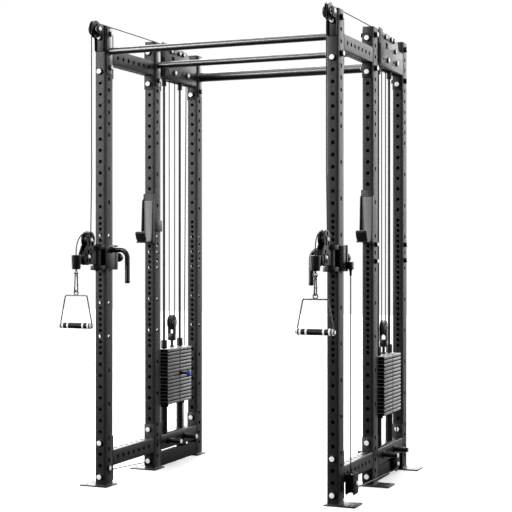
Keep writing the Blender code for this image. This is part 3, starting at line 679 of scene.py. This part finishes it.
# Trolley ------------
def carriage():
    wall = 0.005
    inside = 0.0275
    outside = inside + wall
    front = at(0.0025)
    back = at(-TUBE_Y - 0.0025)
    low, top = SLEEVE_LOW, SLEEVE_TOP
    pivot = at(PIVOT_F)
    shell = block(-outside, outside, front - wall, back + wall, low, top, 0.003, along=2, segments=3)
    shell = cut(shell, [block(-inside, inside, front, back, low - 0.01, top + 0.01, 0.0)],
                [rod("Y", (0, 0, PIN_Z), 0.0075, back - 0.002, at(-0.09), 24)])
    solids = [softened(shell, 0.0007)]
    for x0, x1 in ((-outside, -inside), (inside, outside)):
        solids.append(block(x0, x1, back, at(-0.103), low, top, 0.0012))
    for z0, z1 in ((low, low + 0.020), (top - 0.020, top)):
        outline = [(0.0305, at(0.004))] + [(a, pivot - b) for a, b in arc((0, 0), 0.0305, 0, 180, 20)]
        outline.append((-0.0305, at(0.004)))
        solids.append(slab("Z", outline, z0, z1, 0.0015))
    solids.append(rod("Z", (0, pivot, 0), 0.0105, top, top + 0.0045, 6, 0.0008))
    solids.append(rod("Z", (0, pivot, 0), 0.0105, low - 0.0045, low, 6, 0.0008))
    barrel = [(0.0075, back + 0.003), (0.0115, back + 0.003), (0.0115, at(-0.1165)), (0.0105, at(-0.118)),
              (0.0075, at(-0.118))]
    solids.append(turned("Y", (0, 0, PIN_Z), barrel, 28))
    anchor_y = at(-0.095)
    solids.append(block(outside - 0.002, 0.0560, anchor_y - 0.012, anchor_y + 0.012, 0.972, 1.004, 0.0012))
    return joined(solids)


def sleeve_painted_shade():
    """Painted shade: dark plates on the front of the sleeve, behind the pivot, and on its outer side, where
    the sleeve lies in shade.
    """
    low, top = SLEEVE_LOW, SLEEVE_TOP
    shade_strips = [block(-0.0310, 0.0310, at(0.0095), at(0.0070), low + 0.0203, top - 0.0203, 0.0008),
            block(0.0320, 0.0334, at(0.0068), at(-0.0430), low + 0.003, top - 0.003, 0.0005),
            block(0.0320, 0.0334, at(-0.0735), at(-0.0895), low + 0.001, top - 0.001, 0.0005)]
    return joined(shade_strips)


def grip():
    grip_y = at(-0.047)
    bend = 0.035
    corner = Vector((-0.076, grip_y, 1.053 - bend))
    path = [Vector((-0.031, grip_y, 1.053))]
    for k in range(11):
        angle = math.radians(90 + 9 * k)
        path.append(corner + Vector((bend * math.cos(angle), 0, bend * math.sin(angle))))
    path.append(Vector((-0.111, grip_y, 0.908)))
    bar = pipe(path, 0.0113, 20)
    tip = [(0, 0.9045), (0.0085, 0.9045), (0.0110, 0.9070), (0.0117, 0.912), (0.0117, 0.916),
           (0.0108, 0.9165), (0, 0.9165)]
    collar = [(0, -0.0320), (0.0150, -0.0320), (0.0150, -0.0345), (0.0125, -0.0370), (0, -0.0370)]
    return joined([bar, turned("Z", (-0.111, grip_y, 0), tip, 28),
                   turned("X", (0, grip_y, 1.053), collar, 28)])


def ferrule():
    """The crimped end of the cable at the trolley, with a second small knob beside it."""
    anchor_y = at(-0.095)
    end = turned("Z", (BASE_FRONT_X, anchor_y, 0), [(0, 0.9455), (0.0035, 0.9455), (0.0048, 0.948),
                                                    (0.0052, 0.955), (0.0052, 0.972), (0, 0.972)], 24)
    nut = rod("Z", (BASE_FRONT_X, anchor_y, 0), 0.0075, 0.966, 0.9718, 6, 0.0006)
    profile = [(0, -0.0990), (0.0035, -0.0990), (0.0035, -0.108), (0.0070, -0.109), (0.0080, -0.111),
               (0.0080, -0.119), (0.0065, -0.121), (0, -0.121)]
    knob = turned("Y", (0.012, 0, 0.989), [(radius, at(forward)) for radius, forward in profile], 28)
    lug = block(-0.026, 0.026, at(-0.0995), at(-0.0955), 0.977, 1.001, 0.0008)
    return joined([end, nut, knob, lug])


def pop_pin():
    tip, shoulder, knob, end = at(-0.0712), at(-0.1185), at(-0.150), at(-0.1805)
    stem = [(0, tip), (0.0050, tip), (0.0064, tip + 0.0018), (0.0064, shoulder), (0, shoulder)]
    profile = [(0, shoulder), (0.0085, shoulder), (0.0085, knob - 0.004), (0.0110, knob - 0.001),
               (0.0165, knob), (0.0205, knob + 0.0020), (0.0222, knob + 0.0055), (0.0225, knob + 0.011),
               (0.0222, end - 0.0085), (0.0200, end - 0.0035), (0.0150, end - 0.0008), (0.0090, end),
               (0, end)]
    return turned("Y", (0, 0, PIN_Z), stem, 28), turned("Y", (0, 0, PIN_Z), profile, 40)


def cheek_outline():
    """Two round discs with a waist between them, and an arm back to the pivot."""
    lean = math.degrees(math.atan2(LOWER_WHEEL[0] - UPPER_WHEEL[0], UPPER_WHEEL[1] - LOWER_WHEEL[1]))
    points = [(0.066, 0.9905)]
    points += arc(LOWER_WHEEL, 0.0365, 248, 396, 22)
    points += arc((0.1530, 1.0645), 0.0070, 225, 150, 5)
    points += arc(UPPER_WHEEL, 0.0365, lean - 52, 246, 34)
    points += [(0.0875, 1.0575), (0.0800, 1.0535), (0.066, 1.0530)]
    return [(at(forward), z) for forward, z in points]


def swivel_block():
    pivot = at(PIVOT_F)
    sleeve = [(0.0058, 0.9848), (0.0195, 0.9848), (0.0200, 0.9854), (0.0200, 1.0526), (0.0195, 1.0532),
              (0.0058, 1.0532)]
    solids = [turned("Z", (0, pivot, 0), sleeve, 40),
              block(-0.006, 0.006, at(0.064), pivot - 0.015, 0.992, 1.046, 0.0010),
              block(-0.0138, 0.0138, at(0.070), at(0.060), 0.989, 1.049, 0.0014)]
    for low, high in ((-0.0145, -0.0106), (0.0106, 0.0145)):
        cheek = slab("X", cheek_outline(), low, high, 0.0007)
        holes = []
        for forward, z in (LOWER_WHEEL, UPPER_WHEEL):
            for a, b in [arc((at(forward), z), 0.0215, 90 + 72 * k, 0, 1)[0] for k in range(5)]:
                holes.append(rod("X", (0, a, b), 0.0092, low - 0.01, high + 0.01, 20))
        solids.append(cut(cheek, holes))
    for forward, z in (LOWER_WHEEL, UPPER_WHEEL):
        solids.append(rod("X", (0, at(forward), z), 0.006, -0.015, 0.015))
    return joined(solids)


def block_bolts():
    return axle_ends([(way * 0.0145, *place, way, 0.0085) for way in (-1, 1)
                      for place in (LOWER_WHEEL, UPPER_WHEEL)])


# Cable end and handle ------------
def cable_stop():
    y = at(HANG_F)
    profile = [(0.0028, 1.0322), (0.0180, 1.0322), (0.0203, 1.0313), (0.0219, 1.0285), (0.0216, 1.024),
               (0.0192, 0.975), (0.0182, 0.9712), (0.0160, 0.9698), (0.0028, 0.9698)]
    return turned("Z", (0, y, 0), profile, 44)


def stop_eye():
    y = at(HANG_F)
    neck = [(0, 0.9715), (0.0042, 0.9715), (0.0042, 0.9625), (0.0030, 0.9600), (0, 0.9600)]
    return joined([turned("Z", (0, y, 0), neck, 24), ring("Y", (0, y, 0.953), 0.0085, 0.0021, 32, 12)])


def carabiner():
    outline = arc((0, 0.9455), 0.0085, 0, 180, 14) + arc((0, 0.8850), 0.0125, 180, 360, 18)
    points = [(0, at(HANG_F) + a, z) for a, z in outline]
    body = pipe(points, 0.0032, 14, closed=True)
    y0, y1 = at(HANG_F) + 0.0089, at(HANG_F) + 0.0114
    gate = [pipe([(0, y0 + (y1 - y0) * t, 0.940 - 0.040 * t) for t in (part, part + 0.14)], 0.0043, 14)
            for part in (0.0, 0.86)]
    return joined([body] + gate)


def stirrup():
    """The bent flat frame of the handle, with its eye."""
    y = at(HANG_F)
    top, low = 0.858, GRIP_Z
    narrow, wide = 0.053, 0.079
    points = [(-wide, y, low)]
    lean = math.degrees(math.atan2(wide - narrow, top - low))
    for side, start, end in ((-1, 180 - lean, 90), (1, 90, lean)):
        for a, z in arc((side * (narrow - 0.006), top - 0.0075), 0.0075, start, end, 7):
            points.append((a, y, z))
    points.append((wide, y, low))
    wire = pipe(points, 0.0030, 12)
    eye = ring("Y", (0, y, 0.8705), 0.0098, 0.0027, 36, 12)
    lug = [(0.0040, 0.0755), (0.0100, 0.0755), (0.0100, 0.0815), (0.0040, 0.0815)]
    lugs = [turned("X", (0, y, low), sided(way, lug), 28) for way in (-1, 1)]
    return joined([wire, eye] + lugs)


def handle_grip():
    y = at(HANG_F)
    profile = [(0, -0.0735), (0.0118, -0.0735), (0.0132, -0.0725)]
    for k in range(-14, 15):
        x = 0.0049 * k
        profile += [(0.0132, x - 0.0015), (0.0126, x), (0.0132, x + 0.0015)]
    profile += [(0.0132, 0.0725), (0.0118, 0.0735), (0, 0.0735)]
    tube = turned("X", (0, y, GRIP_Z), profile, 32)
    cap = [(0, 0.0735), (0.0137, 0.0735), (0.0137, 0.0755), (0.0125, 0.0768), (0, 0.0768)]
    caps = [turned("X", (0, y, GRIP_Z), sided(way, cap), 32) for way in (-1, 1)]
    nuts = [rod("X", (0, y, GRIP_Z), 0.0075, *sorted((way * 0.081, way * 0.0838)), 6, 0.0005)
            for way in (-1, 1)]
    band = [(0.0110, -0.0038), (0.0135, -0.0038), (0.0138, -0.0030), (0.0138, 0.0030), (0.0135, 0.0038),
            (0.0110, 0.0038)]
    bands = [turned("X", (x, y, GRIP_Z), band, 32) for x in (-0.062, -0.037, 0.037, 0.062)]
    return tube, joined(caps + nuts + bands)


# Weight stack ------------
def plates(low):
    """Half the stack, eight plates, from the height given."""
    made = []
    centre = at(-STACK_Y)
    for k in range(HALF_STACK):
        bottom = low + k * PITCH
        made.append(block(-0.0448, 0.0448, centre - 0.1298, centre + 0.1298, bottom + 0.0012,
                          bottom + PITCH - 0.0034, 0.0024, segments=3))
    return joined(made)


def plate_shade(low):
    """Painted shade on half the stack: dark discs at the holes, a dark core in the gaps and dark strips at
    the shaded ends of its plates.
    """
    centre = at(-STACK_Y)
    hole = [(0, 0.0440), (0.0052, 0.0440), (0.0052, 0.0450), (0, 0.0450)]
    holes = [turned("X", (0, centre, low + (k + 0.5) * PITCH), sided(way, hole), 20)
             for k in range(HALF_STACK) for way in (-1, 1)]
    core = block(-0.0420, 0.0420, centre - 0.1270, centre + 0.1270, low + 0.0005,
                 low + HALF_STACK * PITCH - 0.0045, 0)
    ends = []
    for k in range(HALF_STACK):
        for way in (-1, 1):
            near, far = sorted((centre + way * 0.1285, centre + way * 0.1303))
            ends.append(block(-0.0425, 0.0425, near, far, low + k * PITCH + 0.0022,
                              low + (k + 1) * PITCH - 0.0044, 0))
    return joined([*holes, core, *ends])


def rod_places():
    return [at(-STACK_Y) - ROD_STEP, at(-STACK_Y) + ROD_STEP]


def stack_head():
    """Bushings, stem and yoke on the top plate."""
    top = STACK_LOW + 2 * HALF_STACK * PITCH - 0.001
    centre = at(-STACK_Y)
    solids = []
    for y in rod_places():
        bushing = [(0.0085, top), (0.0155, top), (0.0155, top + 0.036), (0.0140, top + 0.040),
                   (0.0085, top + 0.040)]
        solids.append(turned("Z", (0, y, 0), bushing, 32))
    solids.append(rod("Z", (0, centre, 0), 0.007, top - 0.001, 0.612))
    solids.append(rod("Z", (0, centre, 0), 0.0125, top, top + 0.008, 6, 0.0008))
    solids.append(block(-0.0158, 0.0158, centre - 0.0138, centre + 0.0138, 0.604, 0.640, 0.0022))
    outline = arc((centre, LIFT_Z), 0.0150, 0, 180, 14) + [(centre - 0.0138, 0.632), (centre + 0.0138, 0.632)]
    for low, high in ((-0.0160, -0.0121), (0.0121, 0.0160)):
        solids.append(slab("X", outline, low, high))
    solids.append(rod("X", (0, centre, LIFT_Z), 0.006, -0.0165, 0.0165))
    return joined(solids)


def guide_rods():
    low = BEAM_LOW + TUBE_Y + 0.0003
    high = BEAM_HIGH - 0.0003
    return joined([rod("Z", (0, y, 0), 0.006, low + 0.002, high, 28) for y in rod_places()])


def risers():
    low = BEAM_LOW + TUBE_Y + 0.0003
    high = BEAM_HIGH - 0.0003
    centre = at(-STACK_Y)
    solids = [block(-0.020, 0.020, centre - 0.115, centre + 0.115, low, low + 0.005, 0.0012)]
    riser = [(0.006, low + 0.004), (0.0170, low + 0.004), (0.0170, 0.2835), (0.0180, 0.2845),
             (0.0225, 0.2855), (0.0232, 0.2870), (0.0232, 0.2985), (0.0220, 0.2999), (0.006, 0.2999)]
    collar = [(0.006, high - 0.030), (0.0105, high - 0.030), (0.0120, high - 0.028),
              (0.0120, high - 0.002), (0.006, high - 0.002)]
    for y in rod_places():
        solids.append(turned("Z", (0, y, 0), riser, 36))
        solids.append(turned("Z", (0, y, 0), collar, 28))
    return joined(solids)


def selector_pin():
    low = STACK_LOW + HALF_STACK * PITCH
    centre = (0, at(-STACK_Y), low + PITCH / 2)
    shaft = [(0, 0.002), (0.0040, 0.002), (0.0041, -0.0452), (0.0085, -0.0456), (0.0085, -0.0560),
             (0.0063, -0.0570), (0.0063, -0.0855), (0, -0.0855)]
    cap = [(0, -0.0850), (0.0120, -0.0850), (0.0146, -0.0862), (0.0150, -0.0885), (0.0150, -0.0940),
           (0.0138, -0.0972), (0.0105, -0.0988), (0, -0.0990)]
    return turned("X", centre, shaft, 24), turned("X", centre, cap, 36)


# Fixed fittings ------------
def top_bracket():
    outline = [(0.0005, 1.9335), (0.0110, 1.9335), (0.0135, 1.9360), (0.0145, 1.9820), (0.0200, 1.9970),
               (0.0270, 2.0030)]
    outline += arc((0.046, 2.0240), 0.0215, 270, 400, 12)
    outline += [(0.0560, 2.0450), (0.0500, 2.0455), (0.0005, 2.0455)]
    points = [(at(forward), z) for forward, z in outline]
    solids = [block(-0.0213, 0.0213, at(0.0045), at(0.0003), 1.9335, 2.0455, 0.0008)]
    for low, high in ((-0.0214, -0.0185), (0.0185, 0.0214)):
        solids.append(slab("X", points, low, high))
    forward, z = TOP_WHEEL
    solids.append(rod("X", (0, at(forward), z), 0.006, -0.0215, 0.0215))
    return joined(solids)


def top_bracket_bolts():
    return axle_ends([(way * 0.0214, *TOP_WHEEL, way, 0.0100) for way in (-1, 1)])


def base_axles():
    rods = [rod("X", (0, at(BASE_FRONT[0]), BASE_FRONT[1]), 0.006, 0.026, 0.0612),
            rod("X", (0, at(BASE_REAR[0]), BASE_REAR[1]), 0.006, 0.003, 0.028)]
    return axle_ends([(0.0611, *BASE_FRONT, 1, 0.0100), (0.0278, *BASE_REAR, 1, 0.0100)], rods)


def j_cup():
    """Back plate, side cheek, shelf and slanted lip of the bar holder, in black."""
    front = post_y(1)
    solids = [block(-0.0298, 0.0298, front - 0.0063, front - 0.0004, 1.0855, 1.3205, 0.0016),
              block(-0.0248, 0.0248, front - 0.0880, front - 0.005, 1.0855, 1.0905, 0.0012)]
    lip = before(front, [(0.0985, 1.130), (0.0960, 1.1370), (0.0925, 1.1390), (0.0890, 1.1375),
                         (0.0745, 1.0900), (0.0750, 1.0855), (0.0810, 1.0855), (0.0840, 1.0900)])
    corners = [slab("Y", [(z, way * x) for x, z in corner], front - 0.11, front - 0.0800, 0)
               for corner in (((0.0140, 1.080), (0.0270, 1.080), (0.0270, 1.112)),
                              ((0.0190, 1.142), (0.0270, 1.142), (0.0270, 1.131))) for way in (-1, 1)]
    solids.append(cut(slab("X", lip, -0.0248, 0.0248, 0.0012), corners))
    side = before(front, [(0.0050, 1.298), (0.0200, 1.288), (0.0290, 1.140), (0.0330, 1.092),
                          (0.0330, 1.0860), (0.0050, 1.0860)])
    for x0, x1 in ((-0.0298, -0.0252), (0.0252, 0.0298)):
        solids.append(slab("X", side, x0, x1))
    solids.append(block(-0.0300, -0.0255, front - 0.004, front + 0.077, 1.1405, 1.1945, 0.0014))
    solids.append(rod("Y", (0, 0, 1.295), 0.0074, front - 0.003, front + 0.0215, 24, 0.001))
    return joined(solids)


def j_cup_liner():
    profile = [(0.0063, 1.286), (0.0100, 1.2870), (0.0115, 1.2850), (0.0118, 1.1030), (0.0135, 1.0960),
               (0.0200, 1.0935), (0.0700, 1.0935), (0.0755, 1.0960), (0.0860, 1.1345), (0.0885, 1.1345),
               (0.0795, 1.0905), (0.0063, 1.0905)]
    return slab("X", before(post_y(1), profile), -0.0235, 0.0235, 0.0008)


# Cable ------------
def wheel_arc(place, radius, start, end, steps, x0, x1):
    points = enumerate(arc(place, radius, start, end, steps))
    return [(x0 + (x1 - x0) * k / steps, at(f), z) for k, (f, z) in points]


def straight(a, b, steps):
    a, b = Vector(a), Vector(b)
    return [tuple(a.lerp(b, k / steps)) for k in range(steps + 1)]


def cable():
    """The cable, in stretches that each follow the body they lie on."""
    lift = (-STACK_Y, LIFT_Z)
    lean = math.degrees(math.atan2(LOWER_WHEEL[0] - UPPER_WHEEL[0], UPPER_WHEEL[1] - LOWER_WHEEL[1]))
    apart = math.dist(LOWER_WHEEL, UPPER_WHEEL)
    leave = 90 + lean - math.degrees(math.acos(2 * GROOVE / apart))
    side = 0.0045

    def run(name, points, body):
        both(name, pipe(points, CABLE_R, 12), SHEATH, body, "cable_sheath", *nodes)
        nodes.clear()

    def span(name, first, second, start, end, steps=24):
        """A straight stretch that starts on one body and ends on another."""
        run(name, straight(start, end, steps), (first, second, start, end))

    nodes = ["cable"]
    foot = (BASE_FRONT_X, at(-0.095), BASE_FRONT[1])
    anchor = (BASE_FRONT_X, at(-0.095), 0.9455)
    span("cable_trolley_return", "frame", "trolley", foot, anchor)
    base = wheel_arc(BASE_FRONT, GROOVE, 0, -90, 14, BASE_FRONT_X, BASE_FRONT_X)
    base += wheel_arc(BASE_REAR, GROOVE, 270, 180, 14, BASE_REAR_X, BASE_REAR_X)
    base += wheel_arc(RETURN_WHEEL, RETURN_GROOVE, 180, 0, 40, 0, 0)
    run("cable_base_run", base, None)
    down = (0, at(RETURN_WHEEL[0] + RETURN_GROOVE), RETURN_WHEEL[1])
    low = (0, at(lift[0] - GROOVE), LIFT_Z)
    span("cable_stack_down", "frame", "stack", down, low)
    run("cable_stack_loop", wheel_arc(lift, GROOVE, 180, 360, 28, 0, 0), "stack")
    low = (0, at(lift[0] + GROOVE), LIFT_Z)
    up = (0, at(TOP_REAR[0] - GROOVE), TOP_REAR[1])
    span("cable_stack_up", "frame", "stack", up, low)
    top = wheel_arc(TOP_REAR, GROOVE, 180, 90, 14, 0, 0) + wheel_arc(TOP_WHEEL, GROOVE, 90, 0, 14, 0, 0)
    run("cable_top_run", top, None)
    high = (0, at(TOP_WHEEL[0] + GROOVE), TOP_WHEEL[1])
    enter = (side, at(UPPER_WHEEL[0] - GROOVE), UPPER_WHEEL[1])
    joint = (0, high[1], enter[2] + 0.30 * (high[2] - enter[2]))
    span("cable_front_drop", "frame", "trolley", high, joint, 20)
    span("cable_block_entry", "trolley", "pulley_block", joint, enter, 20)
    reeve = wheel_arc(UPPER_WHEEL, GROOVE, 180, 180 + lean, 3, side, side)
    reeve += wheel_arc(LOWER_WHEEL, GROOVE, 180 + lean, 360 + leave, 34, side, -side)
    reeve += wheel_arc(UPPER_WHEEL, GROOVE, 180 + leave, 90, 24, -side, -side)
    hang = (0.130, UPPER_WHEEL[1] + GROOVE - (HANG_F - 0.130))
    reeve += wheel_arc(hang, HANG_F - 0.130, 90, 0, 20, -side, 0)
    run("cable_block_reeve", reeve, "pulley_block")
    start = reeve[-1]
    end = (0, at(HANG_F), 1.0300)
    span("cable_pull_end", "pulley_block", "cable_end", start, end, 12)


# The machine ------------
def machine():
    steel = "black_powder_coat"
    for index, word in enumerate(("front", "middle", "rear")):
        both(f"{word}_post", upright(index), POWDER, None, steel, f"{word}_upright")
        piece(f"{word}_pull_up_bar", cross_bar(index, (0.0155, 0.0150, 0.0228)[index]), BAR, "frame", steel,
              f"{word}_cross_bar")
    rail, housing = lower_front_beam()
    both("low_front_rail", rail, POWDER, None, steel, "lower_front_beam")
    # Painted shade: the wheel housing in the darker copy of the powder coat.
    both("base_wheel_housing", housing, SHADED_POWDER, None, steel)
    tube, ends = beam_between(0, BEAM_HIGH, (1.820, 2.020))
    both("top_front_rail", joined([tube] + ends), POWDER, None, steel, "upper_front_beam")
    # Painted shade inside the two front rails.
    both("rail_shade_fill", rail_shade_fill(), PAINTED_SHADE, None, "black_plastic")
    rail, floor_tube = lower_rear_beam()
    both("low_rear_rail", rail, POWDER, None, steel, "lower_rear_beam")
    # Painted shade: the floor tube in the darker copy of the powder coat.
    both("floor_tube", floor_tube, SHADED_POWDER, None, steel)
    both("top_rear_rail", upper_rear_beam(), POWDER, None, steel, "upper_rear_beam")
    both("pulley_side_plates", pulley_plates(), POWDER, None, steel)
    # Painted shade on the stepped plates.
    both("pulley_plate_marks", plate_slot_shade(), PAINTED_SHADE, None, "black_plastic")
    bars, ends = storage_pegs()
    both("storage_pegs", bars, SATIN, None, steel)
    both("storage_peg_ends", ends, GLOWING_ZINC, None, "chrome")
    for name, parts in (("frame_bolts", frame_bolts()), ("top_axle", upper_axles()),
                        ("bracket_axle", top_bracket_bolts()), ("base_axle", base_axles())):
        both(f"{name}_collars", parts[0], SATIN, None, steel)
        both(f"{name}_faces", parts[1], GLOWING_ZINC, None, "chrome")
    collars, heads = block_bolts()
    both("block_axle_collars", collars, SATIN, "pulley_block", steel)
    both("block_axle_faces", heads, GLOWING_ZINC, "pulley_block", "chrome")
    both("front_pulley_fork", top_bracket(), POWDER, None, steel, "top_pulley_bracket")
    both("stack_rods", guide_rods(), SATIN, None, steel, "guide_rods")
    both("stack_risers", risers(), RUBBER, None, "black_rubber")
    for name, low, body, node in (("fixed", STACK_LOW, None, "resting_plates"),
                                  ("lifted", STACK_LOW + HALF_STACK * PITCH, "stack", "selected_plates")):
        both(f"{name}_plates", plates(low), IRON, body, "grey_stack_paint", node)
        # Painted shade in the holes, gaps and ends of the plates.
        both(f"{name}_plate_holes", plate_shade(low), PAINTED_SHADE, body, "black_plastic")
    both("stack_head", stack_head(), SATIN, "stack", steel)
    shaft, cap = selector_pin()
    both("selector_shaft", shaft, SATIN, "selector", "chrome")
    both("selector_cap", cap, BLUE, "selector", "blue_plastic", "selector_pin")
    both("trolley_sleeve", carriage(), POWDER, "trolley", steel, "carriage")
    # Painted shade on the front and outer side of the sleeve.
    both("sleeve_painted_shade", sleeve_painted_shade(), PAINTED_SHADE, "trolley", "black_rubber")
    both("trolley_grip", grip(), GLOSS, "trolley", steel)
    both("cable_ferrule", ferrule(), SATIN, "trolley", "black_plastic")
    stem, knob = pop_pin()
    both("pin_stem", stem, GLOWING_ZINC, "pin", "chrome")
    both("pin_knob", knob, GLOSS, "pin", "black_plastic", "pop_pin")
    both("pulley_cheeks", swivel_block(), POWDER, "pulley_block", steel, "swivel_arm")
    both("rubber_stop", cable_stop(), RUBBER, "cable_end", "black_rubber", "cable_stop")
    both("stop_eye", stop_eye(), STEEL, "cable_end", "chrome")
    both("hook", carabiner(), STEEL, "snap_hook", "chrome", "carabiner")
    both("stirrup", stirrup(), STEEL, "handle", "chrome", "pull_handle")
    tube, caps = handle_grip()
    both("stirrup_grip", tube, RUBBER, "handle", "black_rubber")
    both("stirrup_caps", caps, GLOWING_ZINC, "handle", "chrome")
    both("bar_hook", j_cup(), POWDER, "bar_holder", steel, "j_cup")
    both("bar_hook_liner", j_cup_liner(), LINER, "bar_holder", "cable_sheath")
    wheels = (("upper_trolley_wheel", UPPER_WHEEL, 0.0, "upper_wheel"),
              ("lower_trolley_wheel", LOWER_WHEEL, 0.0, "lower_wheel"),
              ("top_front_wheel", TOP_WHEEL, 0.0, "front_top_wheel"),
              ("top_rear_wheel", TOP_REAR, 0.0, "rear_top_wheel"),
              ("base_front_wheel", BASE_FRONT, BASE_FRONT_X - 0.003, "front_base_wheel"),
              ("base_rear_wheel", BASE_REAR, BASE_REAR_X, "rear_base_wheel"),
              ("lift_wheel", (-STACK_Y, LIFT_Z), 0.0, "stack_wheel"),
              ("return_wheel", RETURN_WHEEL, 0.0, "big_top_wheel", RETURN_R, RETURN_GROOVE, 8))
    for name, place, x, body, *sizes in wheels:
        rim, bearing = wheel(*place, x, *sizes)
        both(f"{name}_rim", rim, NYLON, body, "black_plastic", name)
        both(f"{name}_bearing", bearing, GLOWING_ZINC, body, "chrome")
    cable()


# Stage ------------
def light_studio(tree):
    """A white backdrop for the camera; for the light itself, bright behind and above, dim in front."""
    new = tree.nodes.new
    link = tree.links.new
    place = new("ShaderNodeSeparateXYZ")
    link(new("ShaderNodeTexCoord").outputs["Generated"], place.inputs["Vector"])

    def spread(source, low, high, start, end):
        node = new("ShaderNodeMapRange")
        feed(node, {"From Min": low, "From Max": high, "To Min": start, "To Max": end})
        link(source, node.inputs["Value"])
        return node.outputs["Result"]

    depth = new("ShaderNodeMath")
    depth.operation = "MULTIPLY"
    aside = new("ShaderNodeMath")
    aside.operation = "MULTIPLY_ADD"
    link(place.outputs["X"], aside.inputs[0])
    aside.inputs[1].default_value = -0.6
    link(place.outputs["Y"], aside.inputs[2])
    link(spread(aside.outputs["Value"], 0.52, 0.86, FRONT_LIGHT, BACK_LIGHT), depth.inputs[0])
    link(spread(place.outputs["Z"], -0.16, 0.34, LOW_LIGHT, 1.0), depth.inputs[1])
    seen = new("ShaderNodeMix")
    link(new("ShaderNodeLightPath").outputs["Is Camera Ray"], seen.inputs["Factor"])
    link(depth.outputs["Value"], seen.inputs["A"])
    seen.inputs["B"].default_value = 1.02
    backdrop = tree.nodes["Background"]
    backdrop.inputs["Color"].default_value = (1.0, 1.0, 1.0, 1)
    link(seen.outputs["Result"], backdrop.inputs["Strength"])


def stage():
    bm = bmesh.new()
    bmesh.ops.create_grid(bm, x_segments=1, y_segments=1, size=14)
    floor = put("floor", to_mesh(bm))
    pale = Look("pale_floor", (0.90, 0.90, 0.90), 0.9, specular=0.1).vary_roughness(3, 0.03)
    pale.glow(0.45)
    floor.data.materials.append(pale.material)
    floor.location.z = -0.0005
    floor.visible_glossy = False
    floor.visible_diffuse = False

    world = bpy.data.worlds.new("studio")
    world.use_nodes = True
    light_studio(world.node_tree)
    bpy.context.scene.world = world
    bpy.context.scene.view_settings.view_transform = "Standard"

    def lamp(name, size, power, place, target):
        data = bpy.data.lights.new(name, "AREA")
        data.shape = "RECTANGLE"
        data.size, data.size_y = size
        data.energy = power
        light = put(name, data)
        light.location = place
        light.rotation_euler = (Vector(target) - Vector(place)).to_track_quat("-Z", "Y").to_euler()

    lamp("side_softbox", (1.6, 2.2), 24, (2.8, 0.9, 1.5), (0.5, 0.2, 1.0))
    lamp("front_left_softbox", (2.2, 3.2), 150, (-4.2, -5.2, 2.2), (-0.4, -0.4, 1.0))
    lamp("left_softbox", (2.0, 3.5), 160, (-5.0, 0.2, 1.3), (-0.4, -0.4, 1.0))
    lamp("bar_softbox", (1.4, 0.8), 60, (-2.1, -4.7, 3.3), (0, -0.2, 1.94))
    lamp("overhead_softbox", (3.0, 3.0), 60, (0.0, -0.5, 5.0), (0, 0, 0))

    lens = bpy.data.cameras.new("camera")
    lens.sensor_width = SENSOR
    lens.lens = SENSOR * FOCAL / PICTURE
    lens.shift_y = SHIFT / PICTURE
    camera = put("camera", lens)
    camera.location = (2.2741, -5.3357, 1.06)
    camera.rotation_euler = (math.radians(90), 0, math.radians(22.754))
    bpy.context.scene.camera = camera


stage()
machine()
bpy.context.view_layer.update()
